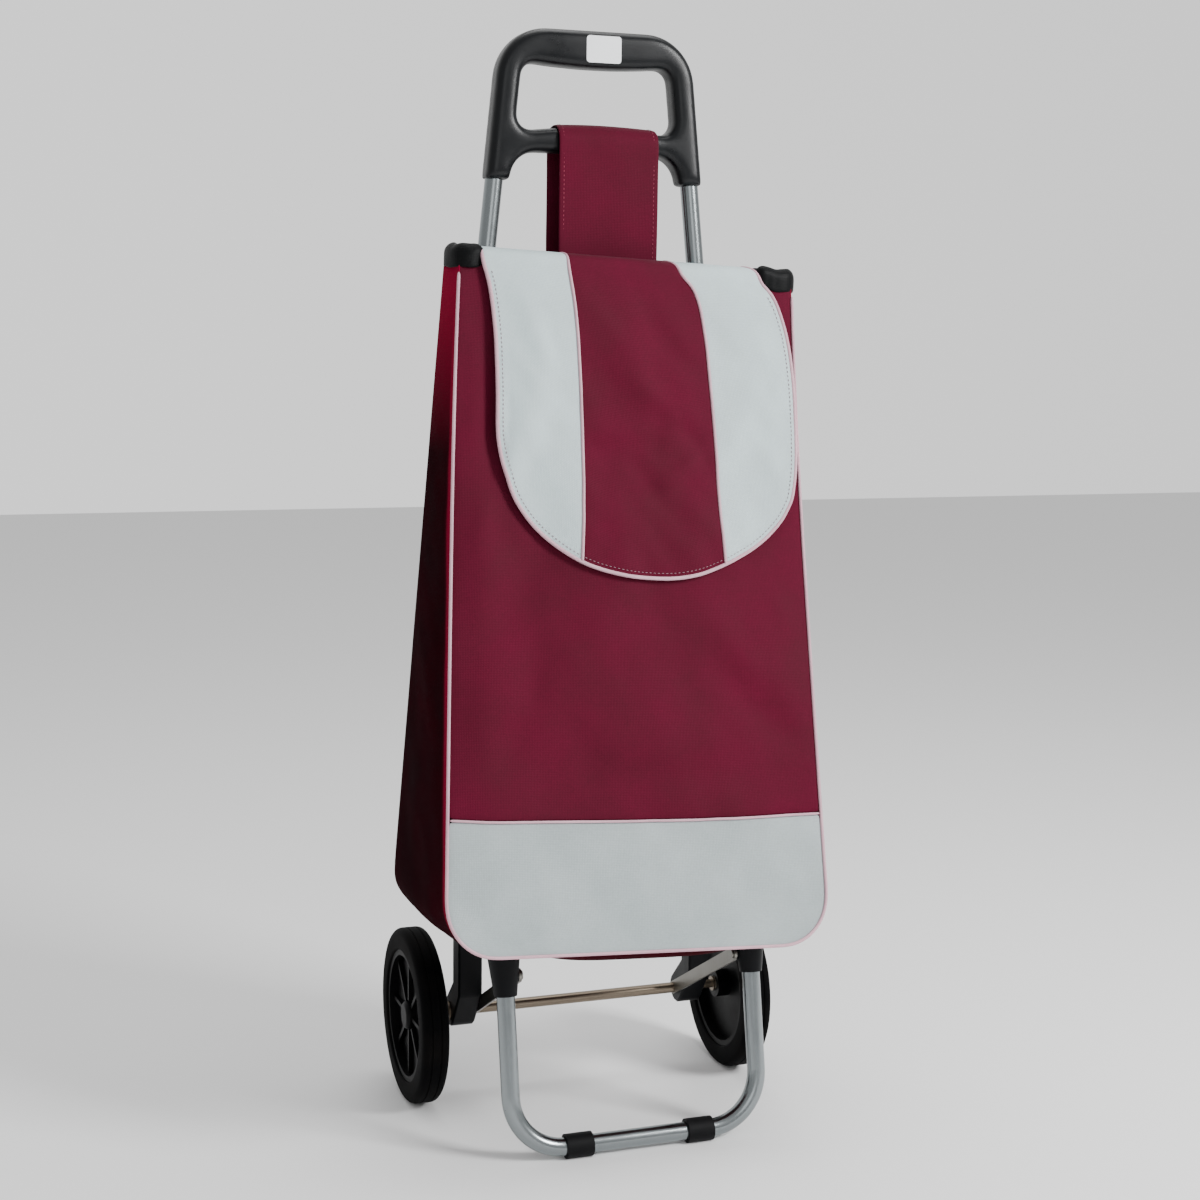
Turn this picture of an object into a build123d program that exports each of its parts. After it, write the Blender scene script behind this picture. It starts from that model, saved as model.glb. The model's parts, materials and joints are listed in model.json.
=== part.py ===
from build123d import *
from math import atan2, cos, hypot, radians, sin, tan
import os

os.makedirs("parts", exist_ok=True)

# A two-wheeled shopping trolley: a tube frame with a moulded grip, an axle
# with two wheels, a U-shaped stand in front, and a cloth bag with a flap
# that hangs from the grip by a wide strap. Millimetres, +Z up, front to -Y.
# Heights are from the floor, depths from the axle, widths from the frame's
# middle plane. Left is -X.

# wheels and axle
wheel_radius = 80.0
tyre_width = 25.0
tyre_thickness = 20.0
rim_width = 21.0
rim_wall = 5.0
wheel_x = 156.1
tread_round = 9.0
web_thickness = 4.0
web_recess = 10.0
rib_count = 8
rib_width = 3.5
rib_depth = 4.0
rib_gap = 1.0
hub_radius = 13.0
hub_inner_x = 142.0
hub_length = 18.0
bush_wall = 3.0
axle_radius = 4.0
running_gap = 0.05
cap_length = 7.0
cap_wall = 2.0
cap_round = 4.0
end_nut_radius = 7.5
end_nut_length = 3.0
clip_radius = 7.0
clip_length = 2.2
side_gap = 0.3

# tubes
tube_radius = 8.0
tube_wall = 1.2
tube_x = 112.8
tube_y = -24.0
tube_foot_z = 105.0
tube_bend_z = 634.0
tube_bend_radius = 90.0
tube_lean = 5.95
tube_top_z = 915.0
socket_gap = 0.1

# grip
grip_bottom_z = 836.0
grip_top_z = 967.0
grip_depth = 28.0
grip_outer_wall = 1.4
grip_leg_width = 22.0
grip_top_round = 46.0
grip_edge_round = 8.0
top_bar_low_z = 934.0
top_bar_arch = 4.0
crossbar_top_z = 884.0
crossbar_bottom_z = 861.0
crossbar_arch = 6.0
window_round = 12.0
notch_round = 23.75
grip_screw_x = 46.0
screw_radius = 1.75
screw_head_radius = 3.6
screw_head_depth = 3.0
screw_head_height = 2.0
screw_length = 20.0
label_width = 32.0
label_height = 23.0
label_thickness = 0.4
label_x = 4.0

# wheel brackets
bracket_inner_x = 101.8
bracket_width = 22.4
bracket_top_z = 197.0
bracket_boss_radius = 14.0
bracket_column = 21.0
bracket_arm_y = -75.0
bracket_edge = 1.5
bracket_arm_clearance = 1.0
pin_radius = 2.0
pin_head_radius = 4.0
pin_head_height = 1.8
pin_depth = 9.0
bracket_pin_z = 182.0

# platform rails and elbows
rail_radius = 7.0
rail_x = 113.5
rail_z = 171.5
rail_top_cover = 1.8
rail_back_y = -38.0
elbow_low_radius = 10.0
elbow_top_radius = 14.4
elbow_height = 36.0
elbow_collar_length = 24.0
rail_grip = 12.0
collar_extra = 1.0

# front stand and its feet
stand_x = 114.5
stand_y = -148.0
stand_top_z = 141.0
stand_foot_y = -173.5
stand_plug = 20.0
stand_corner_radius = 47.0
foot_wall = 2.5
foot_x = 56.0
foot_length = 24.0
foot_bite = 0.5

# stays
stay_width = 12.0
stay_thickness = 2.5
stay_end_y = -141.0
stay_end_z = 156.0
spacer_wall = 0.9
rivet_radius = 2.0
rivet_head_radius = 4.0
rivet_head_height = 1.5
rivet_grip = 3.0
washer_radius = 9.0
washer_thickness = 1.5

# bag
fabric = 2.0
bag_tilt = 2.95
bag_pivot_x = 5.5
bag_pivot_z = 480.0
bag_top_z = 766.0
bag_rest_gap = 0.4
bag_top_width = 310.0
bag_bottom_width = 344.0
bag_corner_radius = 42.0
bag_standoff = 3.0
bag_mouth_depth = 31.0
bag_bend_z = 665.0
bag_bend_depth = 44.0
bag_bottom_depth = 170.0
bag_bend_round = 200.0
band_seam_z = 297.0
board_thickness = 4.0
board_margin = 6.0
board_lift = 0.2
board_corner = 15.0
collar_hem_z = 745.0
collar_top_z = 778.0
collar_thickness = 1.2
piping_width = 2.0
piping_depth = 4.0
piping_proud = 1.0
band_piping_width = 3.0

# flap
flap_gap = 0.8
flap_thickness = 1.8
flap_back_inset = 8.0
flap_seat_z = 768.0
flap_top_left_x = -136.0
flap_top_right_x = 122.0
flap_left_margin = 36.5
flap_right_margin = 5.5
flap_round_z = 612.0
flap_low_z = 496.5
flap_fold_round = 6.0
left_seam_x = -48.0
right_seam_top_x = 46.0
right_seam_bend_x = 70.0
right_seam_bend_z = 690.0
right_seam_low_x = 83.0
seam_width = 3.0
seam_proud = 1.0
seam_overrun = 5.0
collar_notch_gap = 4.0

# hanging strap and tube loops
strap_width = 93.0
strap_x = 7.5
strap_thickness = 1.5
strap_gap = 0.4
strap_hem_z = 738.0
strap_back_y = -5.0
strap_back_low_z = 760.0
strap_sewn_z = 690.0
strap_end_z = 650.0
loop_heights = (330.0, 600.0)
loop_width = 22.0
loop_gap = 0.3
loop_thickness = 1.6
loop_tab_width = 18.0

# the row's origin is under the middle of the whole trolley
tilt = radians(bag_tilt)
bag_back_y = tube_y - tube_radius - bag_standoff
flap_back_y = bag_back_y - flap_back_inset
side_start_x = bag_bottom_width / 2 - bag_corner_radius
rail_cap_z = rail_z + rail_radius + rail_top_cover
bag_foot_z = bag_pivot_z - bag_pivot_z * cos(tilt)
bag_low_z = rail_cap_z + bag_rest_gap + side_start_x * sin(tilt)
bag_bottom_z = (bag_low_z - bag_foot_z) / cos(tilt)
bag_side_reach = (
    bag_bottom_width / 2 * cos(tilt)
    + piping_width
    - bag_pivot_x
    + (bag_pivot_z - bag_bottom_z - bag_corner_radius) * sin(tilt)
)
wheel_reach = wheel_x + tyre_width / 2
frame_x = (bag_side_reach - wheel_reach) / 2
bag_front_reach = bag_bottom_depth - bag_back_y + piping_proud
axle_y = (bag_front_reach - wheel_radius) / 2


def front_plane(y):
    """Looks at the trolley from the front: x to the right, y up, normal to the front."""
    return Plane(origin=(frame_x, axle_y + y, 0), x_dir=(1, 0, 0), z_dir=(0, -1, 0))


def side_plane(x):
    """x runs to the back, y up, normal to +X."""
    return Plane(origin=(frame_x + x, axle_y, 0), x_dir=(0, 1, 0), z_dir=(1, 0, 0))


def level_plane(z):
    return Plane(origin=(frame_x, axle_y, z), x_dir=(1, 0, 0), z_dir=(0, 0, 1))


# The bag hangs a little askew, so it has planes of its own, turned about Y.
bag_foot = (
    frame_x + bag_pivot_x - bag_pivot_z * sin(tilt),
    bag_foot_z,
)


def bag_front_plane(y):
    return Plane(
        origin=(bag_foot[0], axle_y + y, bag_foot[1]),
        x_dir=(cos(tilt), 0, -sin(tilt)),
        z_dir=(0, -1, 0),
    )


def bag_side_plane():
    return Plane(
        origin=(bag_foot[0], axle_y, bag_foot[1]),
        x_dir=(0, 1, 0),
        z_dir=(cos(tilt), 0, -sin(tilt)),
    )


def x_rod(x_low, x_high, y, z, radius, mode=Mode.ADD):
    """A rod along X between two widths."""
    with BuildSketch(side_plane(x_low)) as disc:
        with Locations((y, z)):
            Circle(radius)
    extrude(disc.sketch, amount=x_high - x_low, mode=mode)


def x_rod_out(side, x_near, x_far, y, z, radius, mode=Mode.ADD):
    """A rod along X on one side, from its near end out to its far end."""
    low, high = sorted((side * x_near, side * x_far))
    x_rod(low, high, y, z, radius, mode)


sides = (("left", -1), ("right", 1))
far = 400.0
past_everything = 3 * far
cut_margin = 28.0
axle_axis = Axis((frame_x, axle_y, wheel_radius), (1, 0, 0))

# wheels: tyre, rim with a ribbed web, bush and hub cap

rim_radius = wheel_radius - tyre_thickness
bush_radius = axle_radius + bush_wall
hub_outer_x = hub_inner_x + hub_length
web_x = wheel_x + tyre_width / 2 - web_recess - web_thickness / 2

for name, side in sides:
    with BuildPart() as tyre:
        with BuildSketch(front_plane(0)):
            with Locations((side * wheel_x, wheel_radius + (rim_radius + wheel_radius) / 2)):
                Rectangle(tyre_width, wheel_radius - rim_radius)
            fillet(vertices().group_by(Axis.Y)[-1], radius=tread_round)
        revolve(axis=axle_axis)
    tyre.part.label = f"{name}_tyre"
    export_step(tyre.part, f"parts/{name}_tyre.step")

    with BuildPart() as rim:
        with BuildSketch(front_plane(0)):
            with Locations((side * wheel_x, wheel_radius + rim_radius - rim_wall / 2)):
                Rectangle(rim_width, rim_wall)
            with Locations((side * web_x, wheel_radius + (rim_radius + bush_radius) / 2)):
                Rectangle(web_thickness, rim_radius - bush_radius)
            with Locations(
                (
                    side * (hub_inner_x + hub_outer_x) / 2,
                    wheel_radius + (hub_radius + bush_radius) / 2,
                )
            ):
                Rectangle(hub_length, hub_radius - bush_radius)
        revolve(axis=axle_axis)
        with BuildSketch(
            Plane(
                origin=(frame_x + side * web_x, axle_y, wheel_radius),
                x_dir=(0, 1, 0),
                z_dir=(side, 0, 0),
            )
        ):
            rib_start = hub_radius + rib_gap
            rib_end = rim_radius - rim_wall / 2
            rib_length = rib_end - rib_start
            with PolarLocations((rib_start + rib_end) / 2, rib_count):
                Rectangle(rib_length, rib_width)
        extrude(amount=web_thickness / 2 + rib_depth)
        x_rod(-far, far, 0, wheel_radius, bush_radius, Mode.SUBTRACT)
    rim.part.label = f"{name}_rim"
    export_step(rim.part, f"parts/{name}_rim.step")

    with BuildPart() as bush:
        x_rod_out(side, hub_inner_x, hub_outer_x, 0, wheel_radius, bush_radius)
        x_rod(-far, far, 0, wheel_radius, axle_radius + running_gap, Mode.SUBTRACT)
    bush.part.label = f"{name}_bush"
    export_step(bush.part, f"parts/{name}_bush.step")

    with BuildPart() as hub_cap:
        with BuildSketch(front_plane(0)):
            with Locations(
                (side * (hub_outer_x + cap_length / 2), wheel_radius + hub_radius / 2)
            ):
                Rectangle(cap_length, hub_radius)
            rim_corners = vertices().group_by(Axis.Y)[-1].sort_by(Axis.X)
            fillet(rim_corners[-1 if side > 0 else 0], radius=cap_round)
        revolve(axis=axle_axis)
        x_rod_out(
            side,
            hub_outer_x,
            hub_outer_x + cap_length - cap_wall,
            0,
            wheel_radius,
            hub_radius - cap_wall,
            Mode.SUBTRACT,
        )
    hub_cap.part.label = f"{name}_hub_cap"
    export_step(hub_cap.part, f"parts/{name}_hub_cap.step")

# axle, its spacer tube, washers, clips and push-on nuts

axle_reach = hub_outer_x + side_gap + end_nut_length
with BuildPart() as axle:
    x_rod(-axle_reach, axle_reach, 0, wheel_radius, axle_radius)
axle.part.label = "axle"
export_step(axle.part, "parts/axle.step")

stay_inner_x = bracket_inner_x - stay_thickness
with BuildPart() as axle_spacer_tube:
    spacer_bore = axle_radius + socket_gap
    x_rod(-stay_inner_x, stay_inner_x, 0, wheel_radius, spacer_bore + spacer_wall)
    x_rod(-far, far, 0, wheel_radius, spacer_bore, Mode.SUBTRACT)
axle_spacer_tube.part.label = "axle_spacer_tube"
export_step(axle_spacer_tube.part, "parts/axle_spacer_tube.step")

bracket_outer_x = bracket_inner_x + bracket_width
axle_rings = (
    ("axle_washers", bracket_outer_x, bracket_outer_x + washer_thickness, washer_radius),
    ("hub_clips", hub_inner_x - side_gap - clip_length, hub_inner_x - side_gap, clip_radius),
    ("axle_end_nuts", hub_outer_x + side_gap, axle_reach, end_nut_radius),
)
for ring_name, ring_near, ring_far, ring_radius in axle_rings:
    with BuildPart() as axle_ring:
        for _, side in sides:
            x_rod_out(side, ring_near, ring_far, 0, wheel_radius, ring_radius)
        x_rod(-far, far, 0, wheel_radius, axle_radius, Mode.SUBTRACT)
    axle_ring.part.label = ring_name
    export_step(axle_ring.part, f"parts/{ring_name}.step")

# wheel brackets, with sockets for the tube, the rail and the axle

bracket_rail_pin_y = (bracket_arm_y + rail_back_y) / 2
bracket_pins = ((tube_y, bracket_pin_z), (bracket_rail_pin_y, rail_z))
arm_height = 2 * (rail_radius + rail_top_cover) + bracket_arm_clearance

for name, side in sides:
    with BuildPart() as bracket:
        with BuildSketch(side_plane(side * bracket_inner_x)):
            with Locations((0, wheel_radius)):
                Circle(bracket_boss_radius)
            with Locations((tube_y, wheel_radius + 2 * bracket_boss_radius)):
                Circle(bracket_column / 2)
            make_hull()
            column_low = wheel_radius + 2 * bracket_boss_radius
            with Locations((tube_y, (column_low + bracket_top_z) / 2)):
                Rectangle(bracket_column, bracket_top_z - column_low)
            with Locations(((tube_y + bracket_arm_y) / 2, rail_cap_z - arm_height / 2)):
                Rectangle(tube_y - bracket_arm_y, arm_height)
        extrude(amount=side * bracket_width)
        long_faces = faces().filter_by(Axis.X)
        chamfer(long_faces.edges(), length=bracket_edge)
        with BuildSketch(level_plane(tube_foot_z)):
            with Locations((side * tube_x, tube_y)):
                Circle(tube_radius + socket_gap)
        extrude(amount=bracket_top_z, mode=Mode.SUBTRACT)
        with BuildSketch(front_plane(rail_back_y)):
            with Locations((side * rail_x, rail_z)):
                Circle(rail_radius + socket_gap)
        extrude(amount=far, mode=Mode.SUBTRACT)
        x_rod(-far, far, 0, wheel_radius, axle_radius + socket_gap, Mode.SUBTRACT)
        for pin_y, pin_z in bracket_pins:
            x_rod_out(side, tube_x, far, pin_y, pin_z, pin_radius, Mode.SUBTRACT)
    bracket.part.label = f"{name}_wheel_bracket"
    export_step(bracket.part, f"parts/{name}_wheel_bracket.step")

with BuildPart() as bracket_screws:
    for _, side in sides:
        for pin_y, pin_z in bracket_pins:
            pin_out = bracket_outer_x + pin_head_height
            x_rod_out(side, bracket_outer_x, pin_out, pin_y, pin_z, pin_head_radius)
            x_rod_out(
                side, bracket_outer_x - pin_depth, bracket_outer_x, pin_y, pin_z, pin_radius
            )
bracket_screws.part.label = "bracket_screws"
export_step(bracket_screws.part, "parts/bracket_screws.step")

# main tubes, straight up from the brackets and then leaning in to the grip

lean = tan(radians(tube_lean))


def tube_centre_x(z):
    """Half width between the tubes' centre lines above the bend."""
    return tube_x - (z - tube_bend_z) * lean


for name, side in sides:
    with BuildPart() as tube:
        with BuildLine(front_plane(tube_y)) as tube_line:
            FilletPolyline(
                (side * tube_x, tube_foot_z),
                (side * tube_x, tube_bend_z),
                (side * tube_centre_x(tube_top_z), tube_top_z),
                radius=tube_bend_radius,
            )
        with BuildSketch(level_plane(tube_foot_z)):
            with Locations((side * tube_x, tube_y)):
                Circle(tube_radius)
                Circle(tube_radius - tube_wall, mode=Mode.SUBTRACT)
        sweep(path=tube_line.wires()[0])
        x_rod_out(side, tube_x, far, tube_y, bracket_pin_z, pin_radius, Mode.SUBTRACT)
    tube.part.label = f"{name}_tube"
    export_step(tube.part, f"parts/{name}_tube.step")

# grip: two half shells, split on the tubes' middle plane


def leg_outer_x(z):
    return tube_centre_x(z) + tube_radius + grip_outer_wall


def leg_inner_x(z):
    return leg_outer_x(z) - grip_leg_width


def grip_outline():
    """The points round the outside of the grip, seen from the front."""
    return (
        (-leg_outer_x(grip_bottom_z), grip_bottom_z),
        (-leg_outer_x(grip_top_z), grip_top_z),
        (leg_outer_x(grip_top_z), grip_top_z),
        (leg_outer_x(grip_bottom_z), grip_bottom_z),
    )


grip_front_y = tube_y - grip_depth / 2
grip_back_y = tube_y + grip_depth / 2
crossbar_end_z = crossbar_top_z - crossbar_arch
top_bar_end_z = top_bar_low_z + top_bar_arch
grip_screws_at = [
    (across * grip_screw_x, height)
    for across in (-1, 1)
    for height in (
        (top_bar_low_z + grip_top_z) / 2,
        (crossbar_end_z + crossbar_bottom_z) / 2,
    )
]

with BuildSketch(front_plane(tube_y)) as grip_face:
    Polygon(*grip_outline(), align=None)
    fillet(vertices().group_by(Axis.Y)[-1], radius=grip_top_round)

with BuildSketch(front_plane(tube_y)) as grip_window:
    with BuildLine():
        low_end = (leg_inner_x(crossbar_end_z), crossbar_end_z)
        high_end = (leg_inner_x(top_bar_end_z), top_bar_end_z)
        low_start = (-low_end[0], low_end[1])
        high_start = (-high_end[0], high_end[1])
        ThreePointArc(low_start, (0, crossbar_top_z), low_end)
        Line(low_end, high_end)
        ThreePointArc(high_end, (0, top_bar_low_z), high_start)
        Line(high_start, low_start)
    make_face()
    fillet(vertices(), radius=window_round)

with BuildSketch(front_plane(tube_y)) as grip_notch:
    Polygon(
        (-leg_inner_x(grip_bottom_z), grip_bottom_z),
        (-leg_inner_x(crossbar_bottom_z), crossbar_bottom_z),
        (leg_inner_x(crossbar_bottom_z), crossbar_bottom_z),
        (leg_inner_x(grip_bottom_z), grip_bottom_z),
        align=None,
    )
    fillet(vertices().group_by(Axis.Y)[-1], radius=notch_round)

grip_halves = (("handle_front_shell", 1), ("handle_rear_shell", -1))
for name, facing in grip_halves:
    with BuildPart() as shell:
        extrude(grip_face.sketch, amount=facing * grip_depth / 2)
        extrude(grip_window.sketch, amount=facing * grip_depth / 2, mode=Mode.SUBTRACT)
        extrude(grip_notch.sketch, amount=facing * grip_depth / 2, mode=Mode.SUBTRACT)
        show_face = faces().sort_by(Axis.Y)[0 if facing > 0 else -1]
        fillet(show_face.edges(), radius=grip_edge_round)
        for _, side in sides:
            leg_start = (
                frame_x + side * tube_centre_x(grip_bottom_z),
                axle_y + tube_y,
                grip_bottom_z,
            )
            with BuildSketch(Plane(leg_start, x_dir=(0, 1, 0), z_dir=(-side * lean, 0, 1))):
                Circle(tube_radius + socket_gap)
            socket_depth = (tube_top_z - grip_bottom_z) * hypot(1, lean) + side_gap
            extrude(amount=socket_depth, both=True, mode=Mode.SUBTRACT)
        with BuildSketch(front_plane(tube_y - screw_length / 2)):
            with Locations(*grip_screws_at):
                Circle(screw_radius)
        extrude(amount=-screw_length * 2, mode=Mode.SUBTRACT)
        with BuildSketch(front_plane(grip_back_y - screw_head_depth)):
            with Locations(*grip_screws_at):
                Circle(screw_head_radius)
        extrude(amount=-far, mode=Mode.SUBTRACT)
    shell.part.label = name
    export_step(shell.part, f"parts/{name}.step")

with BuildPart() as handle_screws:
    with BuildSketch(front_plane(tube_y - screw_length / 2)):
        with Locations(*grip_screws_at):
            Circle(screw_radius)
    extrude(amount=-(grip_back_y - screw_head_depth - tube_y + screw_length / 2))
    with BuildSketch(front_plane(grip_back_y - screw_head_depth)):
        with Locations(*grip_screws_at):
            Circle(screw_head_radius)
    extrude(amount=-screw_head_height)
handle_screws.part.label = "handle_screws"
export_step(handle_screws.part, "parts/handle_screws.step")

with BuildPart() as handle_label:
    with BuildSketch(front_plane(grip_front_y)):
        with Locations((label_x, (top_bar_low_z + grip_top_z) / 2)):
            RectangleRounded(label_width, label_height, label_height / 8)
    extrude(amount=label_thickness)
handle_label.part.label = "handle_label"
export_step(handle_label.part, "parts/handle_label.step")

# front stand: one tube bent to a U, leaning forward to the floor

foot_radius = tube_radius + socket_gap + foot_wall
stand_foot_z = foot_radius - foot_bite
stand_drop = stand_top_z - stand_foot_z
stand_slope = (stand_y - stand_foot_y) / stand_drop
stand_lean = atan2(stand_y - stand_foot_y, stand_drop)


def stand_leg_y(z):
    return stand_y + (z - stand_top_z) * stand_slope


stand_end_z = stand_top_z + stand_plug * cos(stand_lean)
with BuildPart() as front_stand:
    stand_plane = Plane(
        origin=(frame_x, axle_y + stand_foot_y, stand_foot_z),
        x_dir=(1, 0, 0),
        z_dir=(0, -cos(stand_lean), sin(stand_lean)),
    )
    leg_length = hypot(stand_drop, stand_y - stand_foot_y) + stand_plug
    with BuildLine(stand_plane) as stand_line:
        FilletPolyline(
            (-stand_x, leg_length),
            (-stand_x, 0),
            (stand_x, 0),
            (stand_x, leg_length),
            radius=stand_corner_radius,
        )
    with BuildSketch(
        Plane(
            origin=(frame_x - stand_x, axle_y + stand_leg_y(stand_end_z), stand_end_z),
            x_dir=(1, 0, 0),
            z_dir=(0, -sin(stand_lean), -cos(stand_lean)),
        )
    ):
        Circle(tube_radius)
        Circle(tube_radius - tube_wall, mode=Mode.SUBTRACT)
    sweep(path=stand_line.wires()[0])
front_stand.part.label = "front_stand"
export_step(front_stand.part, "parts/front_stand.step")

for name, side in sides:
    with BuildPart() as foot:
        foot_near = foot_x - foot_length / 2
        foot_end = foot_x + foot_length / 2
        x_rod_out(side, foot_near, foot_end, stand_foot_y, stand_foot_z, foot_radius)
        x_rod(-far, far, stand_foot_y, stand_foot_z, tube_radius, Mode.SUBTRACT)
        split(bisect_by=Plane.XY, keep=Keep.TOP)
    foot.part.label = f"{name}_foot_sleeve"
    export_step(foot.part, f"parts/{name}_foot_sleeve.step")

# platform rails and the elbows that join them to the stand

elbow_y = stand_leg_y(rail_z)
rail_front_y = elbow_y + rail_grip
elbow_back_y = rail_front_y + elbow_collar_length / 2
elbow_pin_y = rail_front_y + elbow_collar_length / 4
elbow_collar_radius = rail_radius + rail_top_cover + collar_extra

for name, side in sides:
    with BuildPart() as rail:
        with BuildSketch(front_plane(rail_back_y)):
            with Locations((side * rail_x, rail_z)):
                Circle(rail_radius)
                Circle(rail_radius - tube_wall, mode=Mode.SUBTRACT)
        extrude(amount=rail_back_y - rail_front_y)
        rail_pins = (bracket_rail_pin_y, elbow_pin_y)
        for pin_y in rail_pins:
            x_rod_out(side, rail_x, far, pin_y, rail_z, pin_radius, Mode.SUBTRACT)
    rail.part.label = f"{name}_platform_rail"
    export_step(rail.part, f"parts/{name}_platform_rail.step")

    with BuildPart() as elbow:
        cone_foot = Plane(
            origin=(frame_x + side * stand_x, axle_y + stand_y, stand_top_z),
            x_dir=(1, 0, 0),
            z_dir=(0, sin(stand_lean), cos(stand_lean)),
        )
        with BuildSketch(cone_foot):
            Circle(elbow_low_radius)
        with BuildSketch(cone_foot.offset(elbow_height)):
            Circle(elbow_top_radius)
        loft()
        with BuildSketch(front_plane(elbow_y)):
            with Locations((side * rail_x, rail_z)):
                Circle(elbow_collar_radius)
        extrude(amount=elbow_y - elbow_back_y)
        pad_near = bracket_inner_x
        low, high = sorted((side * pad_near, side * stand_x))
        with BuildSketch(side_plane(low)):
            with Locations((stay_end_y, stay_end_z)):
                Circle(stay_width / 2)
        extrude(amount=high - low)
        split(bisect_by=Plane.XY.offset(rail_cap_z), keep=Keep.BOTTOM)
        with BuildSketch(cone_foot):
            Circle(tube_radius + socket_gap)
        extrude(amount=stand_plug + side_gap, mode=Mode.SUBTRACT)
        with BuildSketch(front_plane(rail_front_y)):
            with Locations((side * rail_x, rail_z)):
                Circle(rail_radius + socket_gap)
        extrude(amount=-far, mode=Mode.SUBTRACT)
        x_rod_out(side, rail_x, far, elbow_pin_y, rail_z, pin_radius, Mode.SUBTRACT)
        rivet_tip = pad_near + rivet_grip
        x_rod_out(side, 0, rivet_tip, stay_end_y, stay_end_z, rivet_radius, Mode.SUBTRACT)
    elbow.part.label = f"{name}_elbow"
    export_step(elbow.part, f"parts/{name}_elbow.step")

collar_outer_x = rail_x + elbow_collar_radius
with BuildPart() as elbow_screws:
    for _, side in sides:
        x_rod_out(
            side, collar_outer_x - pin_depth, collar_outer_x, elbow_pin_y, rail_z, pin_radius
        )
        head_end = collar_outer_x + pin_head_height
        x_rod_out(side, collar_outer_x, head_end, elbow_pin_y, rail_z, pin_head_radius)
elbow_screws.part.label = "elbow_screws"
export_step(elbow_screws.part, "parts/elbow_screws.step")

# stays from the axle up to the elbows, with a rivet each

stay_rise = stay_end_z - wheel_radius
stay_length = hypot(stay_end_y, stay_rise)
for name, side in sides:
    with BuildPart() as stay:
        with BuildSketch(
            Plane(
                origin=(frame_x + side * stay_inner_x, axle_y, wheel_radius),
                x_dir=(0, stay_end_y, stay_rise),
                z_dir=(side, 0, 0),
            )
        ):
            with Locations((stay_length / 2, 0)):
                SlotCenterToCenter(stay_length, stay_width)
            Circle(axle_radius + socket_gap, mode=Mode.SUBTRACT)
            with Locations((stay_length, 0)):
                Circle(rivet_radius, mode=Mode.SUBTRACT)
        extrude(amount=stay_thickness)
    stay.part.label = f"{name}_stay"
    export_step(stay.part, f"parts/{name}_stay.step")

with BuildPart() as stay_rivets:
    for _, side in sides:
        head_near = stay_inner_x - rivet_head_height
        x_rod_out(side, head_near, stay_inner_x, stay_end_y, stay_end_z, rivet_head_radius)
        x_rod_out(
            side, stay_inner_x, bracket_inner_x + rivet_grip, stay_end_y, stay_end_z, rivet_radius
        )
stay_rivets.part.label = "stay_rivets"
export_step(stay_rivets.part, "parts/stay_rivets.step")

# bag: panels cut from one block, so that they meet along their seams


def bag_block(side_inset, front_inset, back_inset, top_z=bag_top_z):
    """The bag's outer shape with its sides, front and back moved in."""
    half_top = bag_top_width / 2 - side_inset
    half_bottom = bag_bottom_width / 2 - side_inset
    floor_z = bag_bottom_z + side_inset
    growth = (half_bottom - half_top) / (bag_top_z - bag_bottom_z)
    half_high = half_top - growth * (top_z - bag_top_z)
    back = bag_back_y - back_inset
    with BuildPart() as block:
        with BuildSketch(bag_front_plane(0)):
            Polygon(
                (-half_bottom, floor_z),
                (-half_high, top_z),
                (half_high, top_z),
                (half_bottom, floor_z),
                align=None,
            )
            fillet(vertices().group_by(Axis.Y)[0], radius=bag_corner_radius - side_inset)
        extrude(amount=far)
        with BuildSketch(bag_side_plane()):
            front_top = bag_back_y - bag_mouth_depth + front_inset
            front_bend = bag_back_y - bag_bend_depth + front_inset
            front_low = bag_back_y - bag_bottom_depth + front_inset
            front_slope = (front_bend - front_low) / (bag_bend_z - bag_bottom_z)
            low_z = floor_z - fabric
            top_slope = (front_top - front_bend) / (bag_top_z - bag_bend_z)
            Polygon(
                (back, low_z),
                (back, top_z),
                (front_top + top_slope * (top_z - bag_top_z), top_z),
                (front_bend, bag_bend_z),
                (front_low - front_slope * (bag_bottom_z - low_z), low_z),
                align=None,
            )
            bend = [corner for corner in vertices() if abs(corner.Y - bag_bend_z) < 0.001]
            fillet(bend, radius=bag_bend_round)
        extrude(amount=far, both=True, mode=Mode.INTERSECT)
    return block.part


def bag_window(low_x, high_x, low_z, high_z):
    """A box through the whole bag, front to back, between widths and heights."""
    with BuildPart() as window:
        with BuildSketch(bag_front_plane(far)):
            with Locations(((low_x + high_x) / 2, (low_z + high_z) / 2)):
                Rectangle(high_x - low_x, high_z - low_z)
        extrude(amount=2 * far)
    return window.part


bag_whole = bag_block(0, 0, 0)
past_top = collar_top_z + cut_margin
behind_front = bag_block(-fabric, fabric, -fabric, past_top)
ahead_of_back = bag_block(-fabric, -fabric, fabric, past_top)
between = bag_block(0, fabric, fabric)
hollow = bag_block(fabric, -fabric, -fabric, past_top)
above_seam = bag_window(-far, far, band_seam_z, past_everything)
below_seam = bag_window(-far, far, -far, band_seam_z)
left_side = bag_window(-far, -side_start_x, -far, past_everything)
right_side = bag_window(side_start_x, far, -far, past_everything)
middle_foot = bag_window(-side_start_x, side_start_x, -far, bag_bottom_z + 4 * fabric)

front_cuts = (
    ("bag_front_panel", above_seam),
    ("bag_front_band", below_seam),
)
for name, window in front_cuts:
    with BuildPart() as front_cut:
        add(bag_whole)
        add(behind_front, mode=Mode.SUBTRACT)
        add(window, mode=Mode.INTERSECT)
    front_cut.part.label = name
    export_step(front_cut.part, f"parts/{name}.step")

with BuildPart() as bag_back_panel:
    add(bag_whole)
    add(ahead_of_back, mode=Mode.SUBTRACT)
bag_back_panel.part.label = "bag_back_panel"
export_step(bag_back_panel.part, "parts/bag_back_panel.step")

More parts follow.
